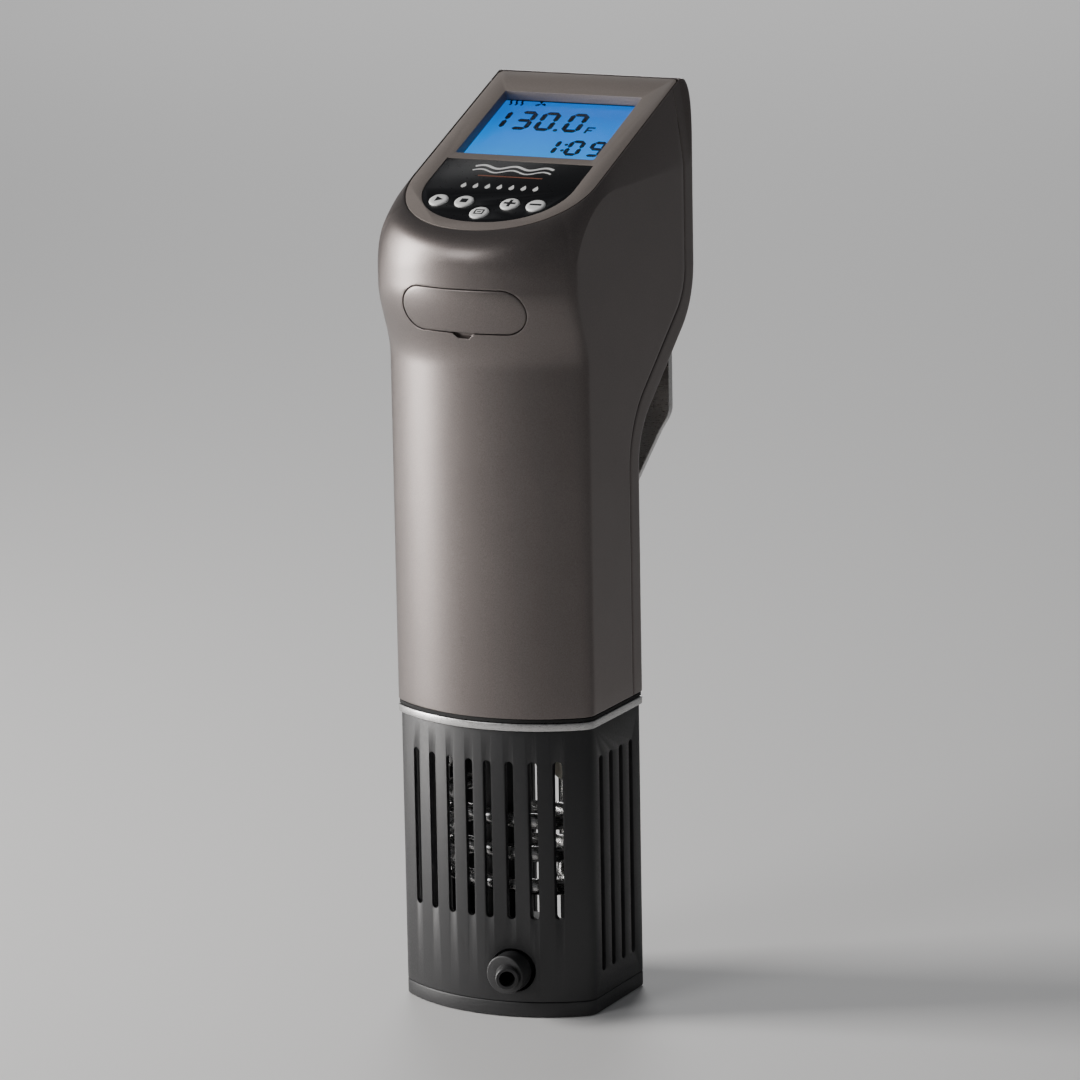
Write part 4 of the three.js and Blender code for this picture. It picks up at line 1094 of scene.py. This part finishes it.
def wet_turned():
    x, y = SENSOR
    flange = [(2.5, 116), (2.5, 128), (0, 128)]
    probe = [(0, 91), (1.3, 91.3), (2.2, 92.3), (2.5, 93.8), (2.5, 111), (5, 111), (5, 116), *flange]
    place(lathe("probe_rod", probe, M.turned_steel, (-x, y, 0), edge=0.3), "stainless", "temperature_probe")
    stem = [(0, 88), (1.8, 88), (1.8, 112), (5, 112), (5, 116), *flange]
    place(lathe("float_rod", stem, M.turned_steel, (x, y, 0), edge=0.3), "stainless", "float_stem")
    ring = [(2.3, 92.6), (6.6, 92.6), (7.5, 93.6), (7.5, 101.6), (6.6, 102.6), (2.3, 102.6)]
    place(lathe("float_body", ring, M.ivory, (x, y, 0), edge=0.5), "ivory_plastic", "float_ring", "float")
    stop = [(2.1, 90), (4.2, 90), (4.2, 91.8), (2.1, 91.8)]
    place(lathe("float_clip", stop, M.turned_steel, (x, y, 0), edge=0.3), "stainless", "float_stop")
    column = [(8, 31), (10, 31), (10, 110), (14, 113), (14, 116.2), (8, 116.2)]
    place(lathe("column_tube", column, M.black), "black_plastic", "pump_column")
    cup = [(8, 8), (20, 8), (20, 30.7), (5, 30.7), (5, 28.7), (18, 28.7), (18, 10), (8, 10)]
    volute = lathe("volute_shell", cup, M.black, edge=0.8)
    pipe = cut(rod("pipe", 5.5, -27, -5, M.black, OUTLET_AXIS, "y"), rod("room", 17.9, 10.05, 28.65, M.black))
    bore = rod("bore", 4, -28, -5, M.black, OUTLET_AXIS, "y")
    place(cut(join(volute, pipe), bore), "black_plastic", "pump_volute")


def nozzle():
    """The outlet nozzle: a collar with a spout set at an angle in it, so that turning it aims the jet."""
    collar = [(0, -30.4), (7.9, -30.4), (7.9, -22), (5.9, -22), (5.9, -28.2), (0, -28.2)]
    collar = lathe("nozzle_spout", collar, M.black, OUTLET_AXIS, "y", 0.7)
    spout = turned("spout", [(0, 0), (4.6, 0), (4.6, 8.6), (4.2, 9), (0, 9)], M.black, axis="y")
    bore = turned("bore", [(0, -1), (3.1, -1), (3.1, 20), (0, 20)], M.black, axis="y")
    aim = Matrix.Translation((OUTLET_AXIS[0] - 0.5, -26.5, OUTLET_AXIS[2])) @ Matrix.Rotation(radians(205), 4, "Z")
    for item in (spout, bore):
        move(item, aim)
    clear = rod("clear", 5.9, -28.2, -21, M.black, OUTLET_AXIS, "y")
    place(cut(join(collar, spout), clear, bore), "black_plastic", "outlet_nozzle", "outlet_nozzle")


# ---------------------------------------------------------------- clamp
def bracket():
    low, high = span("clamp_bracket")
    half = high.x
    right = [(15, low.z), (21, low.z + 6), (half - 4, 220), (half, 226), (half, high.z)]
    outline = rounded([(-x, z) for x, z in right[::-1]] + right, 5, 5)
    plate = prism("bracket_plate", outline, 0, 3.2, M.steel, facing_back(76.4))
    bevel(plate, 0.4, 3, 50)
    boss = lathe("boss", [(0, 72), (9.5, 72), (9.5, 84), (0, 84)], M.steel, CLAMP_AXIS, "y", 0.6)
    tab = block("tab", (-half, 69.4, high.z - 3), (half, 77.4, high.z), M.steel)
    hole = rod("hole", 4.3, 60, 100, M.steel, CLAMP_AXIS, "y")
    place(cut(join(plate, boss, tab), hole), "stainless", "clamp_bracket")


def screw_and_knob():
    threads = thread("clamp_screw_fine", 3.85, 0.45, 1.5, 57.5, 99.0)
    profile = [(0, 51.6), (3, 51.6), (4.5, 53), (4.5, 56), (3.3, 57.6), (0, 57.6)]
    tip = lathe("tip", profile, M.turned_steel, CLAMP_AXIS, "y", 0.4)
    place(grouped("clamp_screw_fine", [threads, tip]), "stainless", "clamp_screw", "clamp_screw")
    lobes = []
    for i in range(180):
        angle = 2 * pi * i / 180
        radius = 12.3 + 2.5 * (0.5 + 0.5 * cos(5 * angle)) ** 0.6
        lobes.append((radius * cos(angle), CLAMP_Z + radius * sin(angle)))
    grip = prism("clamp_knob_fine", lobes, 0, 12, M.black, facing_back(93), 60)
    bevel(grip, 1.4, 4, 60, 60)
    hub = lathe("hub", [(0, 91.4), (8, 91.4), (8, 94.4), (0, 94.4)], M.black, CLAMP_AXIS, "y")
    bore = rod("bore", 4.2, 85, 99.7, M.black, CLAMP_AXIS, "y")
    dimple = turned("dimple", [(0, 103.6), (6, 104.2), (6.6, 106), (0, 106)], M.black, CLAMP_AXIS, "y")
    place(cut(join(grip, hub), bore, dimple), "black_plastic", "clamp_knob", "clamp_screw")


def pads():
    profile = [(0, 46), (12.4, 46), (13.4, 47), (13.4, 50), (7.6, 51), (7.6, 57.4), (4.2, 57.4), (4.9, 56.6),
               (4.9, 51.3), (0, 51.3)]
    disc = lathe("pad_disc", profile, M.soft_black, CLAMP_AXIS, "y", 0.5)
    place(disc, "rubber", "clamp_pad", "clamp_pad")
    low, high = span("wall_pad")
    outline = round_rectangle(high.x, (high.z - low.z) / 2, 3, (0, (high.z + low.z) / 2))
    pad = prism("wall_pad_sheet", outline, 0, high.y - low.y, M.soft_black, facing_back(low.y))
    bevel(pad, 0.4, 2, 50)
    grooves = [block("groove", (-30, high.y - 0.5, z - 0.5), (30, high.y + 2, z + 0.5), M.soft_black)
               for z in (190, 194, 198, 202, 206)]
    place(cut(pad, grouped("cutters", grooves)), "rubber", "wall_pad")


def thread(name, radius, depth, pitch, low, high, sides=32, per_turn=4):
    """A screwed rod along Y: its radius follows a helix."""
    rows = int((high - low) / pitch * per_turn * 2)
    points = []
    for j in range(rows + 1):
        y = lerp(low, high, j / rows)
        fade = min(1.0, (high - y) / pitch, (y - low) / pitch)
        for i in range(sides):
            angle = 2 * pi * i / sides
            height = abs(2 * ((y / pitch - i / sides) % 1.0) - 1)
            r = radius - depth * (1 - height * fade)
            points.append((r * cos(angle), y, CLAMP_Z + r * sin(angle)))
    return piece(name, points, ring_faces(rows + 1, sides), M.turned_steel, 60)


# ---------------------------------------------------------------- stage
def stage():
    floor, tree, shader = shade("floor_pale", (0.7, 0.695, 0.69), 0, 0.6)
    bump(tree, shader, noise(tree, 30.0, 2.0), 0.15, 0.0005)
    mesh = bpy.data.meshes.new("floor")
    mesh.from_pydata([(x, y, 0) for x, y in rectangle(-FLOOR, -FLOOR, FLOOR, FLOOR)], [], [(0, 1, 2, 3)])
    mesh.materials.append(floor)
    ground = bpy.data.objects.new("floor", mesh)
    ground.location.z = -0.0003
    scene.collection.objects.link(ground)

    world = bpy.data.worlds.new("studio")
    world.use_nodes = True
    scene.world = world
    tree = world.node_tree
    background = tree.nodes["Background"]
    color = ramp(tree, generated(tree, "Z"), [(0.0, (0.72, 0.72, 0.73)), (0.6, (0.5, 0.51, 0.53))])
    tree.links.new(color, background.inputs["Color"])
    background.inputs["Strength"].default_value = 0.27


def aimed(obj, location, direction, roll=0.0):
    """Links a light or camera, looking along a direction."""
    obj.location = location
    obj.rotation_mode = "QUATERNION"
    obj.rotation_quaternion = direction.to_track_quat("-Z", "Y") @ Matrix.Rotation(roll, 3, "Z").to_quaternion()
    scene.collection.objects.link(obj)


def area_light(name, location, target, size, power, color=(1, 1, 1)):
    data = bpy.data.lights.new(name, "AREA")
    data.shape = "RECTANGLE"
    data.size, data.size_y = size
    data.energy = power
    data.color = color
    aimed(bpy.data.objects.new(name, data), location, Vector(target) - Vector(location))


def camera():
    azimuth, elevation, roll = radians(26.5), radians(12.4), radians(1.05)
    distance, view_height, sensor = 2.25, 0.43, 36.0
    low, high = cad_box
    target = Vector((0.0, (low.y + high.y) / 2, (low.z + high.z) / 2))
    back = Vector((sin(azimuth) * cos(elevation), -cos(azimuth) * cos(elevation), sin(elevation)))
    data = bpy.data.cameras.new("camera")
    data.sensor_width = sensor
    data.lens = sensor * distance / view_height
    cam = bpy.data.objects.new("camera", data)
    aimed(cam, target + back * distance, -back, -roll)
    scene.camera = cam


# ---------------------------------------------------------------- build
camera()
stage()
area_light("key", (-1.35, -0.55, 0.5), (0, 0, 0.2), (0.5, 1.1), 46, (1.0, 0.98, 0.96))
area_light("front", (-0.9, -1.9, 1.3), (0, 0, 0.25), (0.8, 0.8), 12)
area_light("rim", (-1.8, 3.8, 1.5), (0, 0.08, 0.36), (2.0, 0.6), 40)
for finish, nodes in CAD_FINISH.items():
    for node in nodes:
        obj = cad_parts[node]
        obj.data.materials.clear()
        obj.data.materials.append(getattr(M, finish))

main_housing()
badge()
rear_cover()
cover_screws()
bezel()
overlay()
display()
buttons()
power_inlet()
rocker()
wet_end()
heater()
wet_turned()
nozzle()
bracket()
screw_and_knob()
pads()
